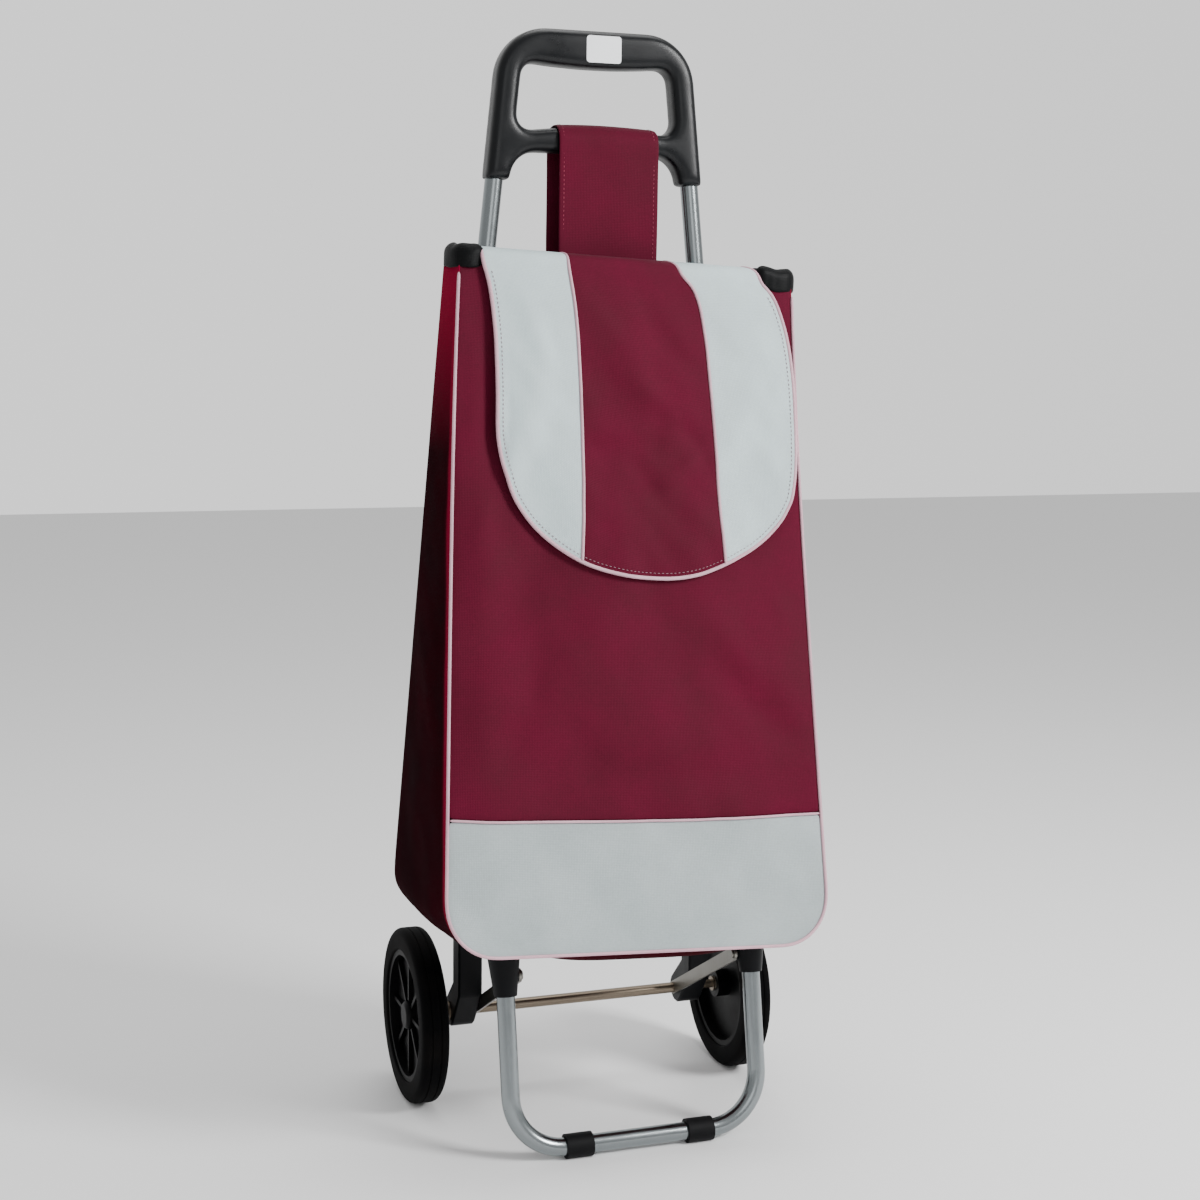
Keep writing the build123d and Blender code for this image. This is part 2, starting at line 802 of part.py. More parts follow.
wall_cuts = (
    ("bag_left_gusset", left_side),
    ("bag_right_gusset", right_side),
    ("bag_bottom_panel", middle_foot),
)
for name, window in wall_cuts:
    with BuildPart() as wall_cut:
        add(between)
        add(hollow, mode=Mode.SUBTRACT)
        add(window, mode=Mode.INTERSECT)
    wall_cut.part.label = name
    export_step(wall_cut.part, f"parts/{name}.step")

with BuildPart() as bag_base_board:
    board_front = bag_back_y - bag_bottom_depth + fabric + board_margin
    board_back = bag_back_y - fabric - board_margin
    board_low_z = bag_bottom_z + fabric + board_lift
    with BuildSketch(bag_side_plane()):
        with Locations(
            ((board_front + board_back) / 2, board_low_z + board_thickness / 2)
        ):
            Rectangle(board_back - board_front, board_thickness)
    extrude(amount=side_start_x, both=True)
    fillet(edges().filter_by(lambda e: abs(e.length - board_thickness) < 0.001), radius=board_corner)
bag_base_board.part.label = "bag_base_board"
export_step(bag_base_board.part, "parts/bag_base_board.step")

collar_outer = bag_block(fabric, fabric, fabric, collar_top_z)
lining = fabric + collar_thickness
collar_inner = bag_block(lining, lining, lining, past_top)
flap_reach_left = flap_top_left_x - piping_width - collar_notch_gap
flap_reach_right = flap_top_right_x + piping_width + collar_notch_gap
with BuildPart() as bag_collar:
    add(collar_outer)
    add(collar_inner, mode=Mode.SUBTRACT)
    add(bag_window(-far, far, collar_hem_z, past_everything), mode=Mode.INTERSECT)
    add(
        bag_window(flap_reach_left, flap_reach_right, bag_top_z, past_everything),
        mode=Mode.SUBTRACT,
    )
bag_collar.part.label = "bag_collar"
export_step(bag_collar.part, "parts/bag_collar.step")

with BuildPart() as front_piping:
    add(bag_block(-piping_width, -piping_proud, 0))
    behind_piping = piping_depth - piping_proud
    add(bag_block(-2 * piping_width, behind_piping, -fabric, past_top), mode=Mode.SUBTRACT)
    add(bag_block(0, -2 * piping_proud, -fabric, past_top), mode=Mode.SUBTRACT)
front_piping.part.label = "front_piping"
export_step(front_piping.part, "parts/front_piping.step")

with BuildPart() as band_piping:
    add(bag_block(0, -piping_proud, 0))
    add(bag_block(-fabric, 0, -fabric, past_top), mode=Mode.SUBTRACT)
    half_piping = band_piping_width / 2
    band = bag_window(-far, far, band_seam_z - half_piping, band_seam_z + half_piping)
    add(band, mode=Mode.INTERSECT)
band_piping.part.label = "band_piping"
export_step(band_piping.part, "parts/band_piping.step")

# flap: an L over the mouth and down the front, cut into its stripes

bag_widening = (bag_bottom_width - bag_top_width) / 2 / (bag_top_z - bag_bottom_z)
half_at_round = bag_top_width / 2 + (bag_top_z - flap_round_z) * bag_widening
flap_left_x = flap_left_margin - half_at_round
flap_right_x = half_at_round - flap_right_margin
flap_middle_x = (flap_left_x + flap_right_x) / 2
flap_half_width = (flap_right_x - flap_left_x) / 2
flap_top_z = flap_seat_z + flap_gap + flap_thickness


def flap_face(outset):
    """The flap's outline from the front, with a half ellipse for its lower edge."""
    with BuildSketch(bag_front_plane(0)) as face:
        with BuildLine() as edge:
            left = flap_left_x - outset
            right = flap_right_x + outset
            EllipticalCenterArc(
                (flap_middle_x, flap_round_z),
                flap_half_width + outset,
                flap_round_z - flap_low_z + outset,
                start_angle=180,
                arc_size=180,
            )
            Polyline(
                (right, flap_round_z),
                (flap_top_right_x + outset, flap_top_z + outset),
                (flap_top_left_x - outset, flap_top_z + outset),
                (left, flap_round_z),
            )
        make_face(edge.line.edges())
    return face.sketch


def flap_layer(low, high):
    """A layer over the mouth and the front panel, between two clearances."""
    layers = []
    for clearance in (low, high):
        with BuildPart() as layer:
            with BuildSketch(bag_side_plane()):
                top_y = bag_back_y - bag_mouth_depth - clearance
                bend_y = bag_back_y - bag_bend_depth - clearance
                low_y = bag_back_y - bag_bottom_depth - clearance
                Polygon(
                    (flap_back_y, bag_bottom_z),
                    (flap_back_y, flap_seat_z + clearance),
                    (top_y, flap_seat_z + clearance),
                    (bend_y, bag_bend_z),
                    (low_y, bag_bottom_z),
                    align=None,
                )
                corners = vertices()
                fold = [c for c in corners if abs(c.Y - flap_seat_z - clearance) < 0.001]
                bend = [c for c in corners if abs(c.Y - bag_bend_z) < 0.001]
                fillet(sorted(fold, key=lambda c: c.X)[0], radius=flap_fold_round + clearance)
                fillet(bend, radius=bag_bend_round)
            extrude(amount=far, both=True)
        layers.append(layer.part)
    return layers


right_seam = (
    (right_seam_top_x, flap_top_z + seam_overrun),
    (right_seam_bend_x, right_seam_bend_z),
    (right_seam_low_x, flap_low_z - seam_overrun),
)
left_seam = ((left_seam_x, flap_top_z + seam_overrun), (left_seam_x, flap_low_z - seam_overrun))
flap_under, flap_over = flap_layer(flap_gap, flap_gap + flap_thickness)
_, flap_proud = flap_layer(flap_gap, flap_gap + flap_thickness + seam_proud)
flap_whole_face = flap_face(0)
flap_wide_face = flap_face(piping_width)

with BuildSketch(bag_front_plane(0)) as left_of_seam:
    Polygon(
        (-far, flap_top_z + seam_overrun),
        left_seam[0],
        left_seam[1],
        (-far, flap_low_z - seam_overrun),
        align=None,
    )
with BuildSketch(bag_front_plane(0)) as right_of_seam:
    Polygon(
        (far, flap_top_z + seam_overrun),
        right_seam[0],
        right_seam[1],
        right_seam[2],
        (far, flap_low_z - seam_overrun),
        align=None,
    )

stripe_cuts = (
    ("flap_centre_panel", (left_of_seam, right_of_seam), Mode.SUBTRACT),
    ("flap_left_stripe", (left_of_seam,), Mode.INTERSECT),
    ("flap_right_stripe", (right_of_seam,), Mode.INTERSECT),
)
for name, stripe_faces, cut in stripe_cuts:
    with BuildPart() as stripe:
        add(flap_over)
        add(flap_under, mode=Mode.SUBTRACT)
        extrude(flap_whole_face, amount=far, mode=Mode.INTERSECT)
        for stripe_face in stripe_faces:
            extrude(stripe_face.sketch, amount=far, mode=cut)
    stripe.part.label = name
    export_step(stripe.part, f"parts/{name}.step")

with BuildPart() as flap_edge_piping:
    add(flap_over)
    add(flap_under, mode=Mode.SUBTRACT)
    extrude(flap_wide_face, amount=far, mode=Mode.INTERSECT)
    extrude(flap_whole_face, amount=far, mode=Mode.SUBTRACT)
flap_edge_piping.part.label = "flap_edge_piping"
export_step(flap_edge_piping.part, "parts/flap_edge_piping.step")

with BuildSketch(bag_front_plane(0)) as seam_lines:
    for seam in (left_seam, right_seam):
        with BuildLine() as seam_line:
            Polyline(*seam)
        trace(seam_line.line.edges(), seam_width)
with BuildPart() as flap_seam_piping:
    add(flap_proud)
    add(flap_over, mode=Mode.SUBTRACT)
    extrude(flap_whole_face, amount=far, mode=Mode.INTERSECT)
    extrude(seam_lines.sketch, amount=far, mode=Mode.INTERSECT)
flap_seam_piping.part.label = "flap_seam_piping"
export_step(flap_seam_piping.part, "parts/flap_seam_piping.step")

# hanging strap: sewn inside the mouth, over the crossbar and down behind

with BuildPart() as hanging_strap:
    with BuildSketch(side_plane(strap_x)):
        with BuildLine() as strap_line:
            half = strap_thickness / 2
            strap_front_y = grip_front_y - strap_gap - half
            strap_top_z = crossbar_top_z + strap_gap + half
            over_back_y = grip_back_y + strap_gap + half
            sewn_front_y = bag_back_y - lining - half
            FilletPolyline(
                (sewn_front_y, strap_hem_z),
                (sewn_front_y, bag_top_z),
                (strap_front_y, crossbar_bottom_z),
                (strap_front_y, strap_top_z),
                (over_back_y, strap_top_z),
                (over_back_y, crossbar_bottom_z),
                (strap_back_y, (crossbar_bottom_z + strap_back_low_z) / 2),
                (strap_back_y, strap_back_low_z),
                (bag_back_y + half, strap_sewn_z),
                (bag_back_y + half, strap_end_z),
                radius=grip_edge_round + half,
            )
        trace(strap_line.line.edges(), strap_thickness)
    extrude(amount=strap_width / 2, both=True)
hanging_strap.part.label = "hanging_strap"
export_step(hanging_strap.part, "parts/hanging_strap.step")

# cloth loops on the bag's back, one above the other on each tube

loop_radius = tube_radius + loop_gap + loop_thickness
tab_back_y = tube_y - loop_radius + loop_thickness
for name, side in sides:
    with BuildPart() as tube_loops:
        for loop_z in loop_heights:
            with BuildSketch(level_plane(loop_z)):
                with Locations((side * tube_x, tube_y)):
                    Circle(loop_radius)
                with Locations((side * tube_x, (bag_back_y + tab_back_y) / 2)):
                    Rectangle(loop_tab_width, tab_back_y - bag_back_y)
                with Locations((side * tube_x, tube_y)):
                    Circle(tube_radius + loop_gap, mode=Mode.SUBTRACT)
            extrude(amount=loop_width)
    tube_loops.part.label = f"{name}_tube_loops"
    export_step(tube_loops.part, f"parts/{name}_tube_loops.step")
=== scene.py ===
import json
import math

import bmesh
import bpy
from mathutils import Matrix, Vector, noise


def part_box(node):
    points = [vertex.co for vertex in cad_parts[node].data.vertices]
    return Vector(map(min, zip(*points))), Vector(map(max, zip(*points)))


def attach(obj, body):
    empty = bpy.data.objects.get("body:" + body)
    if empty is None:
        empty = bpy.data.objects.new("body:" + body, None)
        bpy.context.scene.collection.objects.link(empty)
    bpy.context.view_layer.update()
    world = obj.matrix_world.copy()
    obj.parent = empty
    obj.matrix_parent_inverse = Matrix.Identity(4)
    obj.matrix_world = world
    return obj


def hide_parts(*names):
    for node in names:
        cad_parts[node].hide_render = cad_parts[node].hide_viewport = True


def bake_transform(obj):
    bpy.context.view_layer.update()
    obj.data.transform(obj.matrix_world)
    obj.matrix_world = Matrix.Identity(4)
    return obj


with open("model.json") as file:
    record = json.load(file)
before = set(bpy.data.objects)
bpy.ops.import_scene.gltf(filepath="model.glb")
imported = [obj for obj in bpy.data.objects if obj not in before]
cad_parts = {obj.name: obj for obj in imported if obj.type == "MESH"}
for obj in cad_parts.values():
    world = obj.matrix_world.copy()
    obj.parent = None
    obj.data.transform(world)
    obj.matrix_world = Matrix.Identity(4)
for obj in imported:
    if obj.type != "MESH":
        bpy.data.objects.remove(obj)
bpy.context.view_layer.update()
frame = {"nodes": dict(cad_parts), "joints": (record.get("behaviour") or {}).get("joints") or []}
print("frame loaded")

mm = 0.001
tubeRadius = 8 * mm

# places taken from the frame: the axle's line, the flap's hinge and the bag's own tilted directions
axleLow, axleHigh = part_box("axle")
axleY = (axleLow.y + axleHigh.y) / 2
axleZ = (axleLow.z + axleHigh.z) / 2
middleX = (axleLow.x + axleHigh.x) / 2
flapJoint = next(j for j in frame["joints"] if j["name"] == "flap_lift")
hinge = Vector(flapJoint["pos_m"])
bagAcross = -Vector(flapJoint["axis"]).normalized()
bagUp = Vector((-bagAcross.z, 0, bagAcross.x))


def srgb(code):
    # hex to the linear colour that shaders work in
    values = [int(code[i : i + 2], 16) / 255 for i in (0, 2, 4)]
    return tuple(v / 12.92 if v <= 0.04045 else ((v + 0.055) / 1.055) ** 2.4 for v in values) + (1,)


def grey(value):
    return (value, value, value, 1)


def perMetre(size):
    # a noise scale from the size of its spots in millimetres
    return 1000 / size


def addNode(tree, kind, settings=None, inputs=None):
    # a node with its settings, its ramp's stops, its values and its links
    node = tree.nodes.new(kind)
    for name, value in (settings or {}).items():
        if name == "stops":
            for element, (position, colour) in zip(node.color_ramp.elements, value):
                element.position, element.color = position, colour
        else:
            setattr(node, name, value)
    for name, value in (inputs or {}).items():
        socket = node.inputs[name]
        if isinstance(value, bpy.types.NodeSocket):
            tree.links.new(value, socket)
        else:
            socket.default_value = value
    return node


def startMaterial(name):
    material = bpy.data.materials.new(name)
    material.use_nodes = True
    material.node_tree.nodes.clear()
    return material, material.node_tree


# sizes in millimetres; real threads are near 0.7 apart and the yarn's fuzz near 0.2, too fine to show here,
# so the threads are drawn up to twice as coarse and the fuzz about ten times
cloth = dict(
    blotch=71.43,
    fuzz=2.38,
    fuzzDepth=0.25,
    # where the painted light on the sides fades out: beside the seam, and from a height up towards the mouth
    paintedLitBandStart=7,
    paintedLitBandEnd=12,
    paintedLitMouthFrom=600,
    paintedLitMouthTo=740,
)


def wovenCloth(name, light, dark, roughness, sheen, mottle, thread=1.4, gloss=0.12, paintedLitBand=None):
    # a grid of threads with soft blotches where the coating was handled
    material, tree = startMaterial(name)
    place = addNode(tree, "ShaderNodeAttribute", {"attribute_name": "flatPlace"}).outputs["Vector"]
    # a wave texture runs through one band each 2 pi / 20 of its scaled coordinate
    bands = 2 * math.pi / 20 / (thread * mm)
    warp, weft = (
        addNode(
            tree,
            "ShaderNodeTexWave",
            {"wave_type": "BANDS", "bands_direction": direction, "wave_profile": "SIN"},
            {"Vector": place, "Scale": bands, "Distortion": 0.4, "Detail": 1.0},
        )
        for direction in "XY"
    )
    weave = addNode(
        tree, "ShaderNodeMath", {"operation": "MULTIPLY"}, {0: warp.outputs["Fac"], 1: weft.outputs["Fac"]}
    )
    blotch = addNode(
        tree,
        "ShaderNodeTexNoise",
        inputs={"Vector": place, "Scale": perMetre(cloth["blotch"]), "Detail": 4.0, "Roughness": 0.55},
    )
    fuzz = addNode(
        tree,
        "ShaderNodeTexNoise",
        inputs={"Vector": place, "Scale": perMetre(cloth["fuzz"]), "Detail": 2.0, "Roughness": 0.6},
    )
    cloudy = addNode(
        tree,
        "ShaderNodeValToRGB",
        {"stops": ((0.35, srgb(dark)), (0.68, srgb(light)))},
        {"Fac": blotch.outputs["Fac"]},
    ).outputs["Color"]
    if paintedLitBand:
        # painted light: the cloth folded over beside the piping and the cloth near the mouth are drawn bright
        # red, over the painted shade of the rest of the side
        where = addNode(tree, "ShaderNodeTexCoord").outputs["Object"]
        aside = addNode(tree, "ShaderNodeSeparateXYZ", inputs={"Vector": place})
        height = addNode(tree, "ShaderNodeSeparateXYZ", inputs={"Vector": where})
        edge = addNode(
            tree,
            "ShaderNodeValToRGB",
            {"stops": ((cloth["paintedLitBandStart"] * mm, grey(1)), (cloth["paintedLitBandEnd"] * mm, grey(0)))},
            {"Fac": aside.outputs["X"]},
        )
        paintedLitMouth = addNode(
            tree,
            "ShaderNodeValToRGB",
            {"stops": ((cloth["paintedLitMouthFrom"] * mm, grey(0)), (cloth["paintedLitMouthTo"] * mm, grey(1)))},
            {"Fac": height.outputs["Z"]},
        )
        paintedLitShare = addNode(
            tree,
            "ShaderNodeMath",
            {"operation": "MAXIMUM"},
            {0: edge.outputs["Color"], 1: paintedLitMouth.outputs["Color"]},
        )
        cloudy = addNode(
            tree,
            "ShaderNodeMixRGB",
            {"blend_type": "MIX"},
            {"Fac": paintedLitShare.outputs["Value"], "Color1": cloudy, "Color2": srgb(paintedLitBand)},
        ).outputs["Color"]
    threads = addNode(
        tree,
        "ShaderNodeMixRGB",
        {"blend_type": "MULTIPLY"},
        {"Fac": mottle, "Color1": cloudy, "Color2": weave.outputs["Value"]},
    )
    speckle = addNode(
        tree,
        "ShaderNodeMixRGB",
        {"blend_type": "OVERLAY"},
        {"Fac": 0.12, "Color1": threads.outputs["Color"], "Color2": fuzz.outputs["Fac"]},
    )
    rough = addNode(
        tree,
        "ShaderNodeValToRGB",
        {"stops": ((0.3, grey(roughness - 0.06)), (0.7, grey(roughness + 0.05)))},
        {"Fac": blotch.outputs["Fac"]},
    )
    relief = addNode(
        tree,
        "ShaderNodeMath",
        {"operation": "MULTIPLY_ADD"},
        {0: fuzz.outputs["Fac"], 1: 0.4, 2: weave.outputs["Value"]},
    )
    bump = addNode(
        tree,
        "ShaderNodeBump",
        inputs={"Strength": 0.35, "Distance": cloth["fuzzDepth"] * mm, "Height": relief.outputs["Value"]},
    )
    shader = addNode(
        tree,
        "ShaderNodeBsdfPrincipled",
        inputs={
            "Base Color": speckle.outputs["Color"],
            "Roughness": rough.outputs["Color"],
            "Normal": bump.outputs["Normal"],
            "Sheen Weight": sheen,
            "Sheen Roughness": 0.4,
            "IOR": 1.46,
            "Specular IOR Level": gloss,
        },
    )
    addNode(tree, "ShaderNodeOutputMaterial", inputs={"Surface": shader.outputs["BSDF"]})
    return material


# sizes in millimetres; the etched grain of a mould is near 0.1, and each plastic draws it coarser
plastic = dict(cloud=35.71, grainDepth=0.2)


def mouldedPlastic(name, colour, roughness, grain, dust=0.0, dustColour="6b665f", gloss=0.5):
    # an etched grain under clouds of dust and uneven gloss
    material, tree = startMaterial(name)
    where = addNode(tree, "ShaderNodeTexCoord").outputs["Object"]
    fine = addNode(
        tree,
        "ShaderNodeTexNoise",
        inputs={"Vector": where, "Scale": perMetre(grain), "Detail": 2.0, "Roughness": 0.5},
    )
    broad = addNode(
        tree,
        "ShaderNodeTexNoise",
        inputs={"Vector": where, "Scale": perMetre(plastic["cloud"]), "Detail": 5.0, "Roughness": 0.6},
    )
    dusty = addNode(
        tree,
        "ShaderNodeValToRGB",
        {"stops": ((0.45, srgb(colour)), (0.8, srgb(dustColour)))},
        {"Fac": broad.outputs["Fac"]},
    )
    tone = addNode(
        tree,
        "ShaderNodeMixRGB",
        {"blend_type": "MIX"},
        {"Fac": dust, "Color1": srgb(colour), "Color2": dusty.outputs["Color"]},
    )
    rough = addNode(
        tree,
        "ShaderNodeValToRGB",
        {"stops": ((0.3, grey(roughness - 0.05)), (0.75, grey(roughness + 0.1)))},
        {"Fac": broad.outputs["Fac"]},
    )
    bump = addNode(
        tree,
        "ShaderNodeBump",
        inputs={"Strength": 0.25, "Distance": plastic["grainDepth"] * mm, "Height": fine.outputs["Fac"]},
    )
    shader = addNode(
        tree,
        "ShaderNodeBsdfPrincipled",
        inputs={
            "Base Color": tone.outputs["Color"],
            "Roughness": rough.outputs["Color"],
            "Normal": bump.outputs["Normal"],
            "IOR": 1.5,
            "Specular IOR Level": gloss,
        },
    )
    addNode(tree, "ShaderNodeOutputMaterial", inputs={"Surface": shader.outputs["BSDF"]})
    return material


# sizes in millimetres; drawing lines on steel are near 0.1 wide, and here they are ten times that to show
steel = dict(lineWide=1.11, lineLong=40, smudgeWide=25, lineDepth=0.1)


def brightMetal(name, colour, roughness, streak, smudge=0.08):
    # upright drawing lines, and gloss that hands have dulled in places
    material, tree = startMaterial(name)
    where = addNode(tree, "ShaderNodeTexCoord").outputs["Object"]
    across, along = perMetre(steel["lineWide"]), perMetre(steel["lineLong"])
    stretched = addNode(tree, "ShaderNodeMapping", inputs={"Vector": where, "Scale": (across, across, along)})
    lines = addNode(
        tree,
        "ShaderNodeTexNoise",
        inputs={"Vector": stretched.outputs["Vector"], "Scale": 1.0, "Detail": 3.0},
    )
    marks = addNode(
        tree,
        "ShaderNodeTexNoise",
        inputs={"Vector": where, "Scale": perMetre(steel["smudgeWide"]), "Detail": 5.0, "Roughness": 0.6},
    )
    rough = addNode(
        tree,
        "ShaderNodeValToRGB",
        {"stops": ((0.35, grey(roughness)), (0.75, grey(roughness + smudge)))},
        {"Fac": marks.outputs["Fac"]},
    )
    tint = addNode(
        tree,
        "ShaderNodeMixRGB",
        {"blend_type": "MULTIPLY"},
        {"Fac": streak, "Color1": srgb(colour), "Color2": lines.outputs["Fac"]},
    )
    bump = addNode(
        tree,
        "ShaderNodeBump",
        inputs={"Strength": 0.12, "Distance": steel["lineDepth"] * mm, "Height": lines.outputs["Fac"]},
    )
    shader = addNode(
        tree,
        "ShaderNodeBsdfPrincipled",
        inputs={
            "Base Color": tint.outputs["Color"],
            "Roughness": rough.outputs["Color"],
            "Metallic": 1.0,
            "Normal": bump.outputs["Normal"],
        },
    )
    addNode(tree, "ShaderNodeOutputMaterial", inputs={"Surface": shader.outputs["BSDF"]})
    return material


# plain-weave polyester with a thin backing coat: matt wine red, the threads just seen close up
maroonPolyester = wovenCloth(
    "wovenPolyesterMaroon", light="5a0826", dark="500720", roughness=0.72, sheen=0.03, mottle=0.16
)
# the same cloth on the sides, drawn almost black as painted shade, with painted light in full red only at the
# seams and the mouth
paintedShadeGussetPolyester = wovenCloth(
    "wovenPolyesterSidePaintedShade",
    light="2a0009",
    dark="1c0005",
    roughness=0.9,
    sheen=0.0,
    mottle=0.16,
    gloss=0.02,
    paintedLitBand="860f30",
)
# the same cloth behind and below, drawn darker as painted shade: a deep wine red without sheen
paintedShadeWinePolyester = wovenCloth(
    "wovenPolyesterWinePaintedShade", light="3c000e", dark="2e0009", roughness=0.85, sheen=0.0, mottle=0.16, gloss=0.05
)
# pale plain-weave polyester on the flap: cool silver grey with a soft sheen
palePolyester = wovenCloth(
    "wovenPolyesterPale", light="c6d6d8", dark="bccbcd", roughness=0.68, sheen=0.03, mottle=0.1
)
# the same pale cloth low on the bag, drawn greyer and flatter as painted shade
paintedShadeBandPolyester = wovenCloth(
    "wovenPolyesterBandPaintedShade", light="b0babb", dark="a3adae", roughness=0.7, sheen=0.02, mottle=0.1
)
# close-woven nylon lining and webbing: black with a thin gleam along its folds
blackLining = wovenCloth(
    "wovenNylonBlack", light="0b0c0e", dark="050607", roughness=0.5, sheen=0.05, mottle=0.2, thread=1.0
)
# bias-cut binding tape round a cord: a fine dusty pink line at each seam
pipingCloth = wovenCloth(
    "bindingTapePink", light="dcb4bf", dark="c99eab", roughness=0.6, sheen=0.05, mottle=0.1, thread=0.9
)
# injection-moulded polypropylene, lightly etched: soft black with broad highlights on the grip
gripPlastic = mouldedPlastic("mouldedPolypropyleneBlack", "07090c", roughness=0.3, grain=0.5, gloss=0.28)
# moulded nylon: a duller black that shows a little dust
bracketPlastic = mouldedPlastic(
    "mouldedNylonBlack", "050609", roughness=0.42, grain=0.6, dust=0.2, dustColour="222122", gloss=0.12
)
# moulded polypropylene of the wheels: flat black, so that only the ribs' edges catch light
wheelPlastic = mouldedPlastic(
    "mouldedPolypropyleneWheel", "040405", roughness=0.45, grain=0.7, dust=0.2, dustColour="1b1a19", gloss=0.1
)
# foamed EVA of the tyres: dead matt black with brown dust on the tread
tyreRubber = mouldedPlastic(
    "mouldedEvaTyre", "040405", roughness=0.68, grain=0.9, dust=0.3, dustColour="231f1c", gloss=0.04
)
# moulded rubber of the stand's sleeves: matt black with faint dust
sleeveRubber = mouldedPlastic(
    "mouldedRubberSleeve", "08080a", roughness=0.62, grain=0.8, dust=0.2, dustColour="2b2a2a", gloss=0.15
)
# turned natural nylon: a waxy cream ring in the hub
bushNylon = mouldedPlastic("turnedNylonBush", "c9c3b5", roughness=0.5, grain=0.6)
# polished and chromed steel tube: bright edges round a grey middle
polishedTube = brightMetal("polishedChromedTube", "8e9496", roughness=0.2, streak=0.12)
# zinc-plated steel that has yellowed: a brownish satin rod
zincSteel = brightMetal("zincPlatedSteel", "877b6c", roughness=0.34, streak=0.15)
# zinc-plated rolled strip: a grey satin with plain streaks
zincStrip = brightMetal("zincPlatedStrip", "8b8983", roughness=0.38, streak=0.2)
# coated label paper: clean white with a slight shine
labelPaper = mouldedPlastic("coatedLabelPaper", "f2f4f6", roughness=0.35, grain=1.2)
# pressed fibreboard: dark brown and dry
boardFibre = mouldedPlastic("pressedFibreboard", "2a2725", roughness=0.8, grain=1.5)
# spun polyester thread: a dull line of stitches, dark on the strap and greyed pink on the flap
stitchThread = mouldedPlastic("polyesterThread", "8c2b45", roughness=0.6, grain=0.4)
stitchPale = mouldedPlastic("polyesterThreadPale", "8f6e78", roughness=0.6, grain=0.4)
print("materials made")

# metres and degrees
view = dict(place=(-0.6018, -1.6914, 0.7115), turn=19.7, tilt=-7.7, roll=0.7, lens=60.9)


def addCamera():
    turn, tilt, roll = (math.radians(view[k]) for k in ("turn", "tilt", "roll"))
    ahead = Vector((math.sin(turn) * math.cos(tilt), math.cos(turn) * math.cos(tilt), math.sin(tilt)))
    right = Vector((math.cos(turn), -math.sin(turn), 0))
    up = right.cross(ahead)
    rightRolled = right * math.cos(roll) + up * math.sin(roll)
    upRolled = up * math.cos(roll) - right * math.sin(roll)
    camera = bpy.data.objects.new("viewCamera", bpy.data.cameras.new("viewCamera"))
    camera.data.lens = view["lens"]
    camera.data.sensor_width = 36
    axes = Matrix((rightRolled, upRolled, -ahead)).transposed().to_4x4()
    camera.matrix_world = Matrix.Translation(view["place"]) @ axes
    bpy.context.scene.collection.objects.link(camera)
    bpy.context.scene.camera = camera


# each lamp's place, what it points at, its size in metres and its power in watts
lamps = dict(
    keySoftbox=((1.35, -1.45, 1.5), (0, 0, 0.5), (0.6, 0.8), 60),
    frontSoftbox=((-0.5, -2.6, 1.2), (0, 0, 0.5), (1.2, 1.4), 8),
    topSoftbox=((0.3, 0.2, 2.4), (0, 0, 0.4), (1.4, 1.0), 20),
)
studio = dict(floorHalf=6, floor="f4f4f4", roomSide="b9b9b9", backdropSide="fafafa", brightness=1.25)


def addLamps():
    for name, (place, target, size, power) in lamps.items():
        lamp = bpy.data.lights.new(name, "AREA")
        lamp.shape = "RECTANGLE"
        lamp.size, lamp.size_y = size
        lamp.energy = power
        light = bpy.data.objects.new(name, lamp)
        aim = (Vector(target) - Vector(place)).to_track_quat("-Z", "Y")
        light.matrix_world = Matrix.Translation(place) @ aim.to_matrix().to_4x4()
        bpy.context.scene.collection.objects.link(light)


def addStage():
    bm = bmesh.new()
    bmesh.ops.create_grid(bm, x_segments=2, y_segments=2, size=studio["floorHalf"])
    mesh = bpy.data.meshes.new("studioFloor")
    bm.to_mesh(mesh)
    bm.free()
    floor = bpy.data.objects.new("studioFloor", mesh)
    bpy.context.scene.collection.objects.link(floor)
    # seamless background paper: pale and without gloss
    paper, tree = startMaterial("seamlessPaper")
    look = {"Base Color": srgb(studio["floor"]), "Roughness": 0.95}
    shader = addNode(tree, "ShaderNodeBsdfPrincipled", inputs=look)
    addNode(tree, "ShaderNodeOutputMaterial", inputs={"Surface": shader.outputs["BSDF"]})
    mesh.materials.append(paper)
    world = bpy.data.worlds.new("studioWorld")
    world.use_nodes = True
    tree = world.node_tree
    # the backdrop side is brighter than the room side, so dark gloss keeps its depth
    where = addNode(tree, "ShaderNodeTexCoord").outputs["Generated"]
    split = addNode(tree, "ShaderNodeSeparateXYZ", inputs={"Vector": where})
    tone = addNode(
        tree,
        "ShaderNodeValToRGB",
        {"stops": ((0.0, srgb(studio["roomSide"])), (1.0, srgb(studio["backdropSide"])))},
        {"Fac": split.outputs["Y"]},
    )
    tree.links.new(tone.outputs["Color"], tree.nodes["Background"].inputs["Color"])
    tree.nodes["Background"].inputs["Strength"].default_value = studio["brightness"]
    bpy.context.scene.world = world


addCamera()
addLamps()
addStage()
print("stage set")


def addPiece(name, bm, material, body="frame", levels=0, thickness=0, offset=-1, replaced=()):
    # turns a bmesh into a finished piece that rides on a body
    mesh = bpy.data.meshes.new(name)
    bm.to_mesh(mesh)
    bm.free()
    mesh.shade_smooth()
    mesh.materials.append(material)
    piece = bpy.data.objects.new(name, mesh)
    bpy.context.scene.collection.objects.link(piece)
    if thickness:
        wall = piece.modifiers.new("wall", "SOLIDIFY")
        wall.thickness = thickness * mm
        wall.offset = offset
    if levels:
        smooth = piece.modifiers.new("smooth", "SUBSURF")
        smooth.levels = smooth.render_levels = levels
    if body:
        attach(piece, body)
    if replaced:
        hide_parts(*replaced)
    return piece


